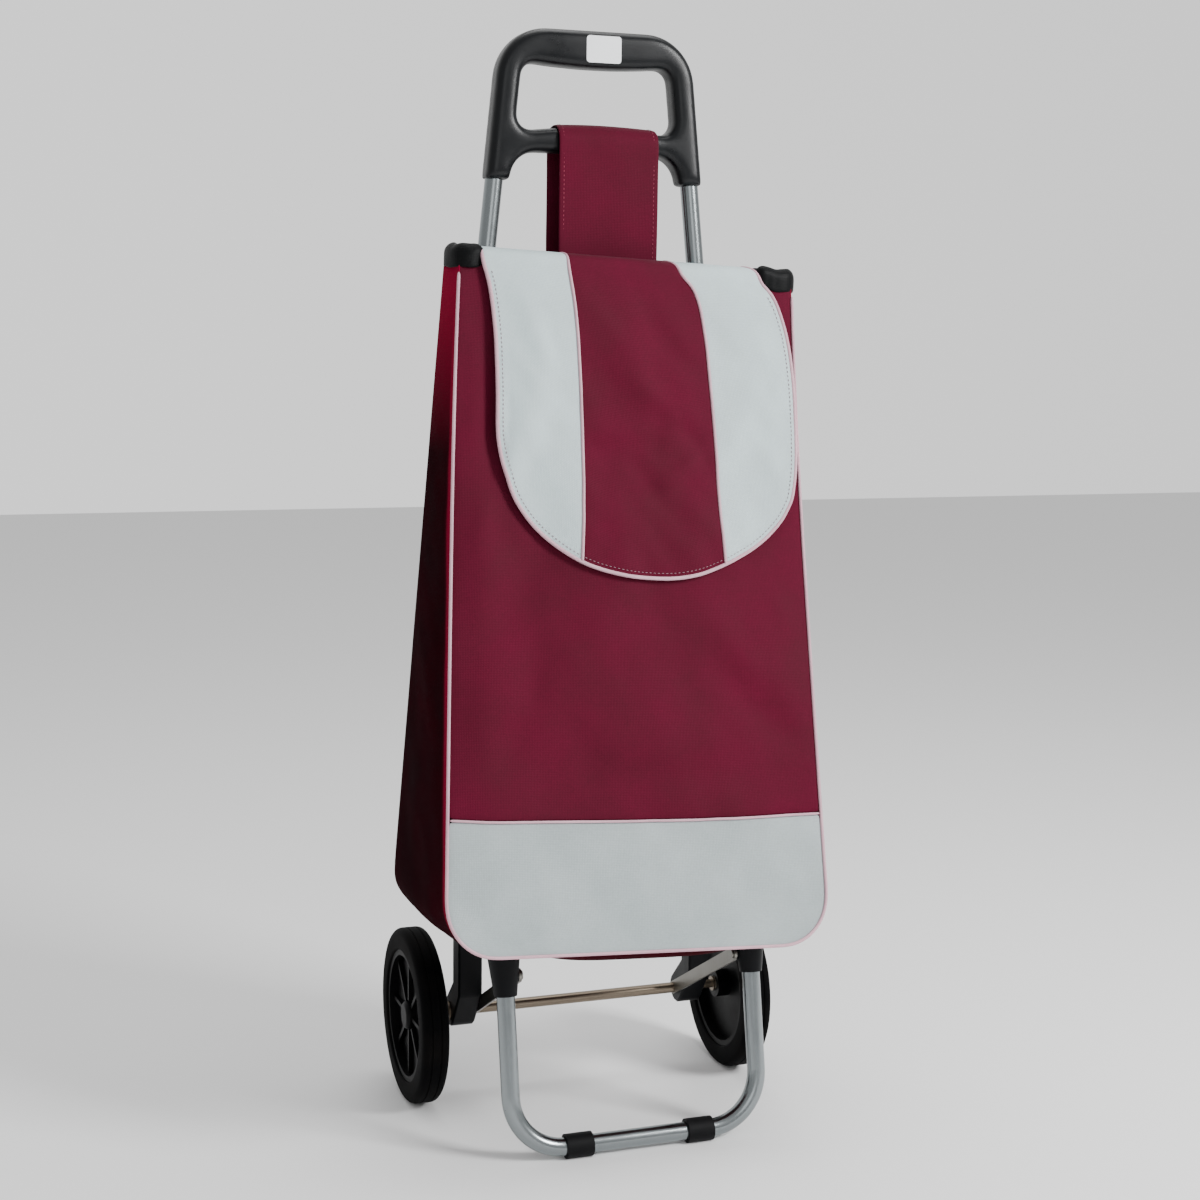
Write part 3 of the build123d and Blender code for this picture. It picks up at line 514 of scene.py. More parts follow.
def smoothCurve(points, t):
    # a point at share t of the way along a smooth curve through the points
    spans = [(Vector(b) - Vector(a)).length for a, b in zip(points, points[1:])]
    reach = t * sum(spans)
    i = 0
    while i < len(spans) - 1 and reach > spans[i]:
        reach -= spans[i]
        i += 1
    local = min(max(reach / spans[i], 0), 1)
    p1, p2 = Vector(points[i]), Vector(points[i + 1])
    p0 = Vector(points[i - 1]) if i else p1 * 2 - p2
    p3 = Vector(points[i + 2]) if i + 2 < len(points) else p2 * 2 - p1
    span = max(spans[i], 1e-9)
    m1 = (p2 - p0) * (span / max((p2 - p1).length + (p1 - p0).length, 1e-9))
    m2 = (p3 - p1) * (span / max((p3 - p2).length + (p2 - p1).length, 1e-9))
    s2, s3 = local * local, local**3
    return (
        p1 * (2 * s3 - 3 * s2 + 1)
        + m1 * (s3 - 2 * s2 + local)
        + p2 * (3 * s2 - 2 * s3)
        + m2 * (s3 - s2)
    )


def evenly(points, gap):
    # places a fixed distance apart along a run of points
    spans = [(b - a).length for a, b in zip(points, points[1:])]
    count = max(2, round(sum(spans) / gap))
    found, i, walked = [], 0, 0
    for k in range(count + 1):
        reach = sum(spans) * k / count
        while i < len(spans) - 1 and reach > walked + spans[i]:
            walked += spans[i]
            i += 1
        found.append(points[i].lerp(points[i + 1], min((reach - walked) / spans[i], 1)))
    return found


def extrudeRun(bm, run, closed=False):
    # extrudes the edges along a run of points and gives the new points in the same order
    edges = [bm.edges.get(pair) for pair in zip(run, run[1:] + run[:1] if closed else run[1:])]
    grown = bmesh.ops.extrude_edge_only(bm, edges=edges)["geom"]
    new = {g for g in grown if isinstance(g, bmesh.types.BMVert)}
    return [next(e.other_vert(v) for e in v.link_edges if e.other_vert(v) in new) for v in run]


def sweepCord(bm, path, radius, sides=10):
    # a round cord along a path, with its length and girth kept for the weave
    flat = bm.verts.layers.float_vector.get("flatPlace") or bm.verts.layers.float_vector.new("flatPlace")
    walked = 0
    side = (path[1] - path[0]).normalized().orthogonal().normalized()
    rings = []
    for k, centre in enumerate(path):
        behind = path[max(k - 1, 0)]
        along = (path[min(k + 1, len(path) - 1)] - behind).normalized()
        side = (side - along * side.dot(along)).normalized()
        up = along.cross(side)
        walked += (centre - behind).length
        if rings:
            ring = extrudeRun(bm, rings[-1], closed=True)
        else:
            ring = list(bmesh.ops.create_circle(bm, segments=sides, radius=radius * mm)["verts"])
        for i, vert in enumerate(ring):
            angle = 2 * math.pi * i / sides
            vert.co = centre + (side * math.cos(angle) + up * math.sin(angle)) * radius * mm
            vert[flat] = (walked, angle * radius * mm, 0)
        rings.append(ring)
    for ring in (rings[0], rings[-1]):
        bmesh.ops.contextual_create(bm, geom=ring)
    bmesh.ops.recalc_face_normals(bm, faces=bm.faces)


def gridSheet(columns, rows, placeOf, flatOf):
    # a grid whose points and flat places are found from shares across and along
    bm = bmesh.new()
    flat = bm.verts.layers.float_vector.new("flatPlace")
    bmesh.ops.create_grid(bm, x_segments=columns, y_segments=rows, size=0.5)
    for vert in bm.verts:
        u, v = vert.co.x + 0.5, vert.co.y + 0.5
        vert.co = placeOf(u, v)
        vert[flat] = flatOf(u, v)
    return bm


def bandAlong(path, across, width, columns, ripple=0):
    # a flat band laid along a path, its width along one direction
    def placeOf(u, v):
        k = v * (len(path) - 1)
        i = min(int(k), len(path) - 2)
        point = path[i].lerp(path[i + 1], k - i)
        wave = ripple * mm * noise.noise(Vector((u * 3, v * 9, 1.7)))
        return point + across * ((u - 0.5) * width * mm) + Vector((0, wave, 0))

    length = sum((b - a).length for a, b in zip(path, path[1:]))
    return gridSheet(columns, len(path) - 1, placeOf, lambda u, v: (u * width * mm, v * length, 0))


# millimetres; the gap is from one stitch to the next
stitch = dict(length=2.6, gap=3.8, radius=0.32)


def addStitches(bm, path, out):
    # short raised threads in a row, each a small flattened capsule
    places = evenly(path, stitch["gap"] * mm)
    for a, b in zip(places, places[1:]):
        along = (b - a).normalized()
        side = along.cross(out).normalized()
        turn = Matrix((along, side, along.cross(side))).transposed().to_4x4()
        size = Matrix.Diagonal((stitch["length"] / 2 * mm, stitch["radius"] * mm, stitch["radius"] * mm, 1))
        place = Matrix.Translation((a + b) / 2) @ turn @ size
        bmesh.ops.create_icosphere(bm, subdivisions=1, radius=1, matrix=place)


# the bag: a lofted shell with a sloping front, in millimetres of its own tilted frame; columns, rows and
# steps are counts
bag = dict(
    hingeUp=769.7,
    topUp=766,
    bendUp=665,
    seamUp=297,
    bottomUp=187,
    topHalf=155,
    bottomHalf=172.5,
    corner=42,
    topY=-66,
    bendY=-79,
    bottomY=-205,
    bendSoft=9.0,
    backY=-35,
    backWider=4.5,
    backCorner=32,
    columns=36,
    cornerRows=8,
    bandRows=6,
    panelRows=40,
    sideSteps=16,
    flatWidth=340,
    wall=1.4,
    edgeFade=30,
    frontSwell=3.0,
    frontFold=5.5,
    frontCrease=1.2,
    creaseGain=1.5,
    creaseBow=0.0035,
    backSwell=1.5,
    backFold=3.5,
    backCrease=0.8,
    sideSwell=0.02,
    sideFold=5.0,
    sideCrease=1.8,
    sideFoldReach=80,
    seamSag=3.5,
    seamSagReach=60,
    bottomSag=11,
    bottomSagHalf=0.37,
    bottomSagSoon=8,
    pipingRadius=1.5,
    bandPipingRadius=1.2,
)
seamRow = bag["cornerRows"] + bag["bandRows"]
lastRow = seamRow + bag["panelRows"]


def bagPlace(across, y, up):
    # bag millimetres to a place in the shared frame
    depth = Vector((0, axleY + y * mm - hinge.y, 0))
    return hinge + bagAcross * (across * mm) + bagUp * ((up - bag["hingeUp"]) * mm) + depth


def frontY(up):
    # depth of the front panel at a height: a short steep top and one long slope that meet in a soft bend
    share = (bag["topUp"] - up) / (bag["topUp"] - bag["bendUp"])
    steep = bag["topY"] + (bag["bendY"] - bag["topY"]) * share
    share = (bag["bendUp"] - up) / (bag["bendUp"] - bag["bottomUp"])
    slope = bag["bendY"] + (bag["bottomY"] - bag["bendY"]) * share
    soft = bag["bendSoft"]
    return -math.log(math.exp(-steep / soft) + math.exp(-slope / soft)) * soft


def halfWidth(up):
    share = (bag["topUp"] - up) / (bag["topUp"] - bag["bottomUp"] - bag["corner"])
    return bag["topHalf"] + (bag["bottomHalf"] - bag["topHalf"]) * min(share, 1)


def bagRows(corner):
    # heights and half widths from the bottom up, closer together round the bottom corners
    rows = []
    for k in range(bag["cornerRows"]):
        angle = math.pi / 2 * k / bag["cornerRows"]
        up = bag["bottomUp"] + corner * (1 - math.cos(angle))
        rows.append((up, halfWidth(up) - corner + corner * math.sin(angle)))
    low = bag["bottomUp"] + corner
    for k in range(bag["bandRows"]):
        up = low + (bag["seamUp"] - low) * k / bag["bandRows"]
        rows.append((up, halfWidth(up)))
    for k in range(bag["panelRows"] + 1):
        up = bag["seamUp"] + (bag["topUp"] - bag["seamUp"]) * k / bag["panelRows"]
        rows.append((up, halfWidth(up)))
    return rows


def softFolds(across, up, seed, broad, fine):
    # broad slanting waves and a few finer creases, in millimetres
    slant = Vector((across * 0.011 + up * 0.006, up * 0.0045 - across * 0.003, seed))
    wave = noise.noise(slant) * broad
    crease = noise.noise(Vector((across * 0.05 + up * 0.02, up * 0.03, seed + 7)))
    return wave + fine * crease


def crease(across, up, middle, angle, length, width, height):
    # one soft crease in the cloth, highest at its middle
    x, z = across - middle[0], up - middle[1]
    along = x * math.cos(angle) + z * math.sin(angle)
    off = z * math.cos(angle) - x * math.sin(angle)
    off -= bag["creaseBow"] * along * along
    return height * math.exp(-((along / length) ** 2) - (off / width) ** 2)


# each crease: its middle, its angle in radians, and its reach along, reach across and height in millimetres
frontCreases = (
    ((-110, 470), 0.9, 70, 16, -2.2),
    ((-60, 420), 0.75, 90, 22, 2.4),
    ((90, 440), -0.8, 80, 20, 2.2),
    ((120, 380), -0.7, 60, 12, -1.6),
    ((20, 360), 0.25, 90, 18, 1.6),
    ((-90, 640), 1.3, 80, 14, 2.0),
    ((-135, 560), 1.45, 90, 10, 1.6),
    ((60, 330), 0.1, 90, 10, -1.2),
    ((130, 240), -0.8, 30, 7, 1.5),
    ((145, 262), -1.1, 24, 5, -1.2),
    ((-120, 250), 0.9, 30, 8, 1.2),
    ((-138, 650), 1.52, 90, 7, 2.6),
    ((-122, 620), 1.52, 90, 8, -2.8),
    ((-100, 380), 1.2, 70, 12, -2.0),
)
flapCreases = (
    ((38, 583), 0.62, 30, 7, 2.3),
    ((20, 572), 0.35, 26, 5, -1.7),
    ((10, 660), -0.75, 50, 13, 2.0),
    ((30, 700), -0.9, 40, 10, -1.5),
    ((-10, 620), 0.1, 45, 9, 1.2),
    ((-90, 700), -1.2, 45, 10, 1.0),
    ((105, 640), 1.2, 60, 12, 1.3),
    ((-85, 600), 1.1, 40, 9, -1.0),
)


def seamSag(across, up):
    # the band's seam hangs a little lower in the middle
    near = max(0, 1 - abs(up - bag["seamUp"]) / bag["seamSagReach"])
    return -bag["seamSag"] * near * (1 - (across / bag["bottomHalf"]) ** 2)


def frontOut(across, up, half):
    # how far the front panel stands out from its plain slope: a low swell with soft folds
    fade = bag["edgeFade"]
    edge = min(1, max(0, half - abs(across)) / fade) * min(1, max(0, up - bag["bottomUp"]) / fade)
    rise = min(1, max(0, (up - bag["bottomUp"]) / (bag["bendUp"] - bag["bottomUp"])))
    folds = softFolds(across, up, 3.1, bag["frontFold"], bag["frontCrease"])
    out = folds + bag["frontSwell"] * math.sin(math.pi * rise)
    return edge * (out + bag["creaseGain"] * sum(crease(across, up, *c) for c in frontCreases))


def frontPlace(u, v, rows):
    up, half = rows[round(v * lastRow)]
    across = (2 * u - 1) * half
    return bagPlace(across, frontY(up) - frontOut(across, up, half), up + seamSag(across, up))


def backPlace(u, v, rows):
    up, half = rows[round(v * lastRow)]
    across = (2 * u - 1) * (half + bag["backWider"])
    fade = bag["edgeFade"]
    edge = min(1, (1 - abs(2 * u - 1)) * half / fade) * min(1, (up - bag["bottomUp"]) / fade)
    folds = softFolds(across, up, 8.4, bag["backFold"], bag["backCrease"]) * edge
    return bagPlace(across, bag["backY"] - bag["backSwell"] * edge - abs(folds) * 0.6, up)


def edgeRun(grid, columns, rowCount):
    # the grid's left edge downwards, its bottom and its right edge upwards
    left = [(0, k) for k in range(rowCount - 1, -1, -1)]
    low = [(k, 0) for k in range(1, columns)]
    right = [(columns, k) for k in range(rowCount)]
    return [grid[key] for key in left + low + right]


def makeShell():
    # the panels are numbered 0 front, 1 band, 2 back, 3 left side, 4 right side and 5 bottom
    columns, rowCount = bag["columns"], lastRow + 1
    bm = bmesh.new()
    flat = bm.verts.layers.float_vector.new("flatPlace")
    aside = bm.verts.layers.float_vector.new("sidePlace")
    grids = []
    for place, corner in ((frontPlace, bag["corner"]), (backPlace, bag["backCorner"])):
        rows = bagRows(corner)
        made = bmesh.ops.create_grid(bm, x_segments=columns, y_segments=lastRow, size=0.5)["verts"]
        grid = {}
        for vert in made:
            u, v = vert.co.x + 0.5, vert.co.y + 0.5
            grid[(round(u * columns), round(v * lastRow))] = vert
            vert.co = place(u, v, rows)
            height = (place(0.5, v, rows) - place(0.5, 0, rows)).length
            vert[flat] = ((u - 0.5) * bag["flatWidth"] * mm, height, 0)
        grids.append(grid)
    part = bm.faces.layers.int.new("part")
    bandVerts = {grids[0][(c, r)] for c in range(columns + 1) for r in range(seamRow + 1)}
    for i, face in enumerate(bm.faces):
        if i >= columns * lastRow:
            face[part] = 2
        elif all(vert in bandVerts for vert in face.verts):
            face[part] = 1
    # the side and bottom strip is drawn back from the front's edge, step by step
    current = edgeRun(grids[0], columns, rowCount)
    starts = [v.co.copy() for v in current]
    ends = [v.co.copy() for v in edgeRun(grids[1], columns, rowCount)]
    count = len(starts)
    walked = [0]
    for a, b in zip(starts, starts[1:]):
        walked.append(walked[-1] + (b - a).length)
    for i, vert in enumerate(current):
        vert[aside] = (0, walked[i], 0)
    inside = bagPlace(0, -90, 470)
    for s in range(1, bag["sideSteps"] + 1):
        current = extrudeRun(bm, current)
        t = s / bag["sideSteps"]
        for i, vert in enumerate(current):
            point = starts[i].lerp(ends[i], t)
            depth = (ends[i] - starts[i]).length
            along = starts[min(i + 1, count - 1)] - starts[max(i - 1, 0)]
            outward = along.cross(Vector((0, 1, 0))).normalized()
            if outward.dot(point - inside) < 0:  # it has to point away from the bag's middle
                outward.negate()
            full = math.sin(math.pi * t)
            ripple = softFolds(walked[i] / mm, t * depth / mm, 5.2, bag["sideFold"], bag["sideCrease"])
            ripple *= min(1, depth / (bag["sideFoldReach"] * mm))
            swell = full * (bag["sideSwell"] * depth + ripple * mm)
            if rowCount <= i < rowCount + columns - 1:
                # the bottom sags between the rails, soon behind the front edge
                offMiddle = (i - rowCount - columns / 2 + 1) / (columns * bag["bottomSagHalf"])
                soon = math.sin(math.pi * min(t * bag["bottomSagSoon"], 0.5 + t / 2)) ** 0.7
                swell = bag["bottomSag"] * mm * max(0, 1 - offMiddle**4) * soon
            vert.co = point + outward * swell if s < bag["sideSteps"] else ends[i]
            vert[aside] = (t * depth, walked[i], 0)
        for i in range(count - 1):
            edge = bm.edges.get((current[i], current[i + 1]))
            for face in edge.link_faces:
                face[part] = 3 if i < lastRow else 5 if i < lastRow + columns else 4
    return bm, starts


shell, frontEdge = makeShell()
print("bag shell lofted:", len(shell.verts), "points")

# each panel's piece, its number in the shell, its cloth, the node it stands for and its flat size in metres
shellPieces = (
    ("bagFrontPanel", 0, maroonPolyester, "bag_front_panel", (0.345, 0.50)),
    ("bagFrontBand", 1, paintedShadeBandPolyester, "bag_front_band", (0.345, 0.118)),
    ("bagBackPanel", 2, paintedShadeWinePolyester, "bag_back_panel", (0.352, 0.58)),
    ("bagLeftGusset", 3, paintedShadeGussetPolyester, "bag_left_gusset", (0.17, 0.58)),
    ("bagRightGusset", 4, paintedShadeGussetPolyester, "bag_right_gusset", (0.17, 0.58)),
    ("bagBottomPanel", 5, paintedShadeWinePolyester, "bag_bottom_panel", (0.262, 0.17)),
)


def cutPiece(source, number):
    # one panel of the shell, cut off along its seams
    bm = source.copy()
    part = bm.faces.layers.int["part"]
    bmesh.ops.delete(bm, geom=[f for f in bm.faces if f[part] != number], context="FACES")
    flat = bm.verts.layers.float_vector["flatPlace"]
    aside = bm.verts.layers.float_vector["sidePlace"]
    if number > 2:
        for vert in bm.verts:
            vert[flat] = vert[aside]
    bmesh.ops.recalc_face_normals(bm, faces=bm.faces)
    middle = bagPlace(0, -90, 400)  # well inside the bag
    outwardShare = sum((f.calc_center_median() - middle).dot(f.normal) * f.calc_area() for f in bm.faces)
    if outwardShare < 0:
        bmesh.ops.reverse_faces(bm, faces=bm.faces)
    return bm


for name, number, material, node, size in shellPieces:
    cut = cutPiece(shell, number)
    area = sum(f.calc_area() for f in cut.faces)
    piece = addPiece(name, cut, material, levels=1, thickness=bag["wall"], offset=-1, replaced=(node,))
    print(name, "area", round(area, 4), "of", round(size[0] * size[1], 4))
shell.free()
print("bag panels cut")


def addPiping(name, paths, radius, node, body="frame"):
    bm = bmesh.new()
    for path in paths:
        sweepCord(bm, path, radius)
    piece = addPiece(name, bm, pipingCloth, body=body, levels=1, replaced=(node,))
    return piece


def bandSeamPath(steps=40, forward=0.8):
    # along the band's seam, just in front of the cloth
    half = halfWidth(bag["seamUp"])
    shares = [((2 * k / steps - 1) * (half - 1) / half + 1) / 2 for k in range(steps + 1)]
    rows = bagRows(bag["corner"])
    return [frontPlace(u, seamRow / lastRow, rows) + Vector((0, -forward * mm, 0)) for u in shares]


frontEdgePath = [p + Vector((0, -0.3 * mm, 0)) for p in evenly(frontEdge, 9 * mm)[2:-2]]
addPiping("frontPiping", [frontEdgePath], bag["pipingRadius"], "front_piping")
addPiping("bandPiping", [bandSeamPath()], bag["bandPipingRadius"], "band_piping")
print("bag piped")

# the flap: three stripes over the mouth and down the front, in the bag's own millimetres

flap = dict(
    backY=-43,
    topUp=771.0,
    foldUp=760,
    lift=2.8,
    wall=1.6,
    flatShift=310,
    rows=59,
    humpRows=10,
    crestAt=0.7,
    crestDepth=0.8,
    crestFull=0.58,
    tuckBack=7.5,
    tuckDown=6.0,
    strapAt=9.0,
    strapHalf=49,
    strapFade=4,
    backReach=14,
    plainLean=0.3,
    hang=260,
    puff=2.0,
    foldPuff=1.2,
    fold=2.4,
    fineFold=0.7,
    creaseBase=1.8,
    creaseGain=1.6,
    pipingRadius=1.8,
    pipingStep=6,
    seamPipingRadius=1.4,
    seamPipingRise=1.0,
    outerLeft=((-136, 760), (-129.5, 738), (-124.5, 698), (-123, 650), (-123, 612), (-119, 588)),
    leftSeam=((-59, 761), (-53, 725), (-49, 670), (-47.5, 600), (-48.5, 545), (-50, 509)),
    rightSeam=((46, 759), (57, 749), (63, 735), (66.5, 719), (70, 695), (76, 619), (79, 560), (83, 510)),
    outerRight=(
        (123, 757),
        (133, 748),
        (140, 735),
        (147, 712),
        (152, 680),
        (154.5, 640),
        (154, 599),
        (149.5, 568),
    ),
    lowEdge=(
        (-119, 588),
        (-107, 557),
        (-86, 532),
        (-50, 509),
        (-12, 499),
        (26, 496.5),
        (54, 500),
        (83, 510),
        (115, 527),
        (137, 547),
        (149.5, 568),
    ),
)

# each stripe's two seams, and where its share of the lower edge starts and ends
stripeEdges = dict(
    left=("outerLeft", "leftSeam", (0, 3)),
    centre=("leftSeam", "rightSeam", (3, 7)),
    right=("rightSeam", "outerRight", (7, 10)),
)


def flapSurface(across, up, behind=0):
    # a place on the flap: on the bag's front with a little air under it, or over the mouth
    if behind:
        turn = math.pi / 2 * min(1, behind / flap["crestAt"])
        reach = frontY(flap["foldUp"]) - flap["lift"] - flap["backY"]
        y = flap["backY"] + reach * math.cos(turn) ** flap["crestDepth"]
        # past the crest it is tucked down to the back panel, and in front of the strap it hangs straight
        tuck = max(0, behind - flap["crestAt"]) / (1 - flap["crestAt"])
        aside = min(1, max(0, abs(across - flap["strapAt"]) - flap["strapHalf"]) / flap["strapFade"])
        y += flap["tuckBack"] * aside * tuck
        rise = (flap["topUp"] - up) * math.sin(turn) ** flap["crestFull"]
        return bagPlace(across, y, up + rise - flap["tuckDown"] * tuck)
    drop = (flap["foldUp"] - up) / flap["hang"]
    fade = min(1, max(0, drop * 4))
    puff = flap["puff"] * math.sin(math.pi * min(1, max(0, drop))) + flap["foldPuff"] * math.exp(-drop * 9)
    under = max(0, frontOut(across, up, halfWidth(up))) * fade
    folds = abs(softFolds(across, up, 12.6, flap["fold"], flap["fineFold"])) * fade
    creases = flap["creaseGain"] * sum(crease(across, up, *c) for c in flapCreases)
    creases = max(0, flap["creaseBase"] + creases) * fade
    return bagPlace(across, frontY(up) - flap["lift"] - under - puff - folds - creases, up)


def lowEdgePoint(u, low):
    # a place along one stripe's share of the flap's single lower curve
    points = [Vector(p) for p in flap["lowEdge"]]
    spans = [(b - a).length for a, b in zip(points, points[1:])]
    start, end = sum(spans[: low[0]]), sum(spans[: low[1]])
    return smoothCurve(points, (start + (end - start) * u) / sum(spans))


def flapPoint(stripe, u, v):
    # a point of one stripe between its two seams, its fold and its lower edge
    leftName, rightName, low = stripeEdges[stripe]
    left, right = [Vector(p) for p in flap[leftName]], [Vector(p) for p in flap[rightName]]
    share = flap["humpRows"] / flap["rows"]
    along = max(0, (v - share) / (1 - share))
    behind = max(0, 1 - v / share)
    top = left[0].lerp(right[0], u)
    bottom = lowEdgePoint(u, low)
    sides = smoothCurve(left, along).lerp(smoothCurve(right, along), u)
    ends = top.lerp(bottom, along)
    corners = top.lerp(lowEdgePoint(0, low).lerp(lowEdgePoint(1, low), u), along)
    point = sides + ends - corners
    # over the mouth the slanting seams run on the way they start
    lead = smoothCurve(left, 0.02).lerp(smoothCurve(right, 0.02), u)
    lean = max(0, (lead.x - top.x) / (top.y - lead.y) - flap["plainLean"])
    return flapSurface(point.x - behind * flap["backReach"] * lean, point.y, behind)


# each stripe's piece, its columns, cloth, slot, the node it stands for and its flat size in metres
flapStripes = (
    ("flapLeftStripe", "left", 16, palePolyester, "pale_cloth", "flap_left_stripe", (0.09, 0.28)),
    ("flapCentrePanel", "centre", 24, maroonPolyester, "maroon_cloth", "flap_centre_panel", (0.135, 0.30)),
    ("flapRightStripe", "right", 16, palePolyester, "pale_cloth", "flap_right_stripe", (0.09, 0.28)),
)


def makeFlap():
    made = []
    for name, stripe, columns, material, slotName, node, size in flapStripes:
        bm = gridSheet(
            columns,
            flap["rows"],
            lambda u, v: flapPoint(stripe, u, v),
            lambda u, v: (u * size[0] + flap["flatShift"] * mm, v * size[1], 0),
        )
        bmesh.ops.recalc_face_normals(bm, faces=bm.faces)
        area = sum(f.calc_area() for f in bm.faces)
        piece = addPiece(
            name, bm, material, body=None, levels=1, thickness=flap["wall"], offset=0, replaced=(node,)
        )
        print(name, "area", round(area, 4), "of", round(size[0] * size[1], 4))
        area = min(area, size[0] * size[1])
        made.append(piece)
    return made


def flapEdge(steps=64, lowSteps=12):
    # the outer edge: down the left side, along the rounded bottom and up the right
    down = [flapPoint("left", 0, k / steps) for k in range(steps + 1)]
    run = [flapPoint(stripe, k / lowSteps, 1) for stripe in stripeEdges for k in range(1, lowSteps + 1)]
    up = [flapPoint("right", 1, 1 - k / steps) for k in range(steps + 1)]
    return evenly(down + run[:-1] + up, flap["pipingStep"] * mm)


def flapSeam(stripe, steps=64):
    # down the right seam of a stripe, a little in front of the cloth
    rise = Vector((0, -flap["seamPipingRise"] * mm, 0))
    return evenly([flapPoint(stripe, 1, k / steps) + rise for k in range(steps + 1)], flap["pipingStep"] * mm)


flapPieces = makeFlap()
flapPieces.append(
    addPiping("flapEdgePiping", [flapEdge()], flap["pipingRadius"], "flap_edge_piping", body=None)
)
seamPaths = [flapSeam("left"), flapSeam("centre")]
flapPieces.append(
    addPiping("flapSeamPiping", seamPaths, flap["seamPipingRadius"], "flap_seam_piping", body=None)
)
for piece in flapPieces:
    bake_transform(piece)
print("flap made")

# the black gathered collar round the bag's mouth, whose ends beside the flap stand up like ears
collar = dict(
    lowUp=744,
    topUp=769,
    earUp=773,
    earLeft=-131,
    earRight=118,
    earFade=5,
    overhang=22,
    rollOut=8.0,
    standShare=0.45,
    tuck=5.0,
    thick=1.8,
    corner=5,
    segments=190,
    rows=16,
    crumple=2.6,
    pleat=3.4,
    wavyTop=5.0,
)


def collarRing(u):
    # a place and its outward direction on the rounded outline of the mouth
    half, corner = bag["topHalf"] - 2.0, collar["corner"]
    front, back = bag["topY"] + 2.5, bag["backY"] - 3.0
    width, depth, arc = 2 * (half - corner), back - front - 2 * corner, math.pi / 2 * corner
    around = u * (2 * (width + depth) + 4 * arc)
    starts = (
        (Vector((-half + corner, front)), Vector((1, 0))),
        (Vector((half, front + corner)), Vector((0, 1))),
        (Vector((half - corner, back)), Vector((-1, 0))),
        (Vector((-half, back - corner)), Vector((0, -1))),
    )
    for (start, along), length in zip(starts, (width, depth, width, depth)):
        out = Vector((along.y, -along.x))
        if around <= length:
            return start + along * around, out
        around -= length
        if around <= arc:
            turn = around / corner
            centre = start + along * length - out * corner
            now = out * math.cos(turn) + along * math.sin(turn)
            return centre + now * corner, now
        around -= arc
    return starts[0][0], Vector((0, -1))


def collarPlace(u, v):
    # once round the mouth, crumpled, higher where the flap doesn't hold it down
    place, out = collarRing(u)
    across, y = place
    free = min(1, max(0, collar["earLeft"] - across, across - collar["earRight"]) / collar["earFade"])
    top = collar["topUp"] - collar["tuck"] + (collar["earUp"] - collar["topUp"] + collar["tuck"]) * free
    stand = collar["standShare"]
    rise, turn = min(1, v / stand), max(0, v - stand) / (1 - stand)
    up = collar["lowUp"] + (top - collar["lowUp"]) * rise
    # the free ends roll outwards over the seam and hang down a little in front of it
    up -= collar["overhang"] * free * turn**1.3
    crumple = noise.noise(Vector((across * 0.16, y * 0.16 + 4, v * 1.3))) * collar["crumple"] * v
    pleat = noise.noise(Vector((across * 0.42, y * 0.42, v * 1.6 + 9))) * collar["pleat"] * v
    lift = noise.noise(Vector((across * 0.14, y * 0.14, 3.3))) * collar["wavyTop"] * rise * free
    over = collar["rollOut"] * math.sin(math.pi / 2 * min(1, turn * 2.2))
    shift = free * (crumple + pleat + over) - (1 - free) * 1.6 * v
    return bagPlace(across + out.x * shift, y + out.y * shift, up + lift)


def makeCollar():
    bm = gridSheet(
        collar["segments"], collar["rows"], collarPlace, lambda u, v: (u * 0.68, v * 0.035, 0)
    )
    bmesh.ops.remove_doubles(bm, verts=bm.verts, dist=0.05 * mm)
    bmesh.ops.recalc_face_normals(bm, faces=bm.faces)
    for _ in range(2):
        bmesh.ops.smooth_vert(
            bm, verts=bm.verts, factor=0.3, use_axis_x=True, use_axis_y=True, use_axis_z=True
        )
    area = sum(f.calc_area() for f in bm.faces)
    piece = addPiece(
        "bagCollar", bm, blackLining, levels=1, thickness=collar["thick"], offset=0, replaced=("bag_collar",)
    )
    print("collar area", round(area, 4))


makeCollar()

# the wide strap that hangs the bag from the grip's crossbar; its places are (y from the axle, height)
strap = dict(
    width=93,
    thick=1.6,
    columns=20,
    ripple=0.8,
    edgeCurl=0.6,
    splitY=-24,
    middleX=flap["strapAt"],
    frontY=-40.6,
    backY=-6.2,
    crownZ=886.2,
    crownHigh=13,
    crownArch=6.0,
    archHalf=90,
    archFrom=800,
    archOver=80,
    front=((-39.2, 740), (-39.6, 756), (-40.0, 768), (-40.3, 780), (-40.5, 800), (-40.6, 830), (-40.6, 860)),
    back=(
        (-6.2, 858),
        (-5.8, 820),
        (-5.6, 780),
        (-7.5, 760),
        (-17, 728),
        (-27, 702),
        (-32.4, 690),
        (-32.8, 672),
        (-32.8, 650),
    ),
)


def strapPath():
    # from inside the mouth up the front, over the crossbar and down behind to the bag's back
    half = abs(strap["backY"] - strap["frontY"]) / 2
    middleY = (strap["backY"] + strap["frontY"]) / 2
    base, high = strap["crownZ"] - strap["crownHigh"], strap["crownHigh"]
    angles = [math.pi * k / 14 for k in range(15)]
    crown = tuple((middleY - half * math.cos(a), base + high * math.sin(a) ** 0.8) for a in angles)
    places = strap["front"] + crown + strap["back"]
    points = [Vector((middleX + strap["middleX"] * mm, axleY + y * mm, z * mm)) for y, z in places]
    return evenly([smoothCurve(points, k / 160) for k in range(161)], 7 * mm)


def archDrop(x, z):
    # how far the strap's top follows the crossbar's arch down
    top = min(max((z - strap["archFrom"] * mm) / (strap["archOver"] * mm), 0), 1)
    return strap["crownArch"] * mm * ((x - middleX) / (strap["archHalf"] * mm)) ** 2 * top


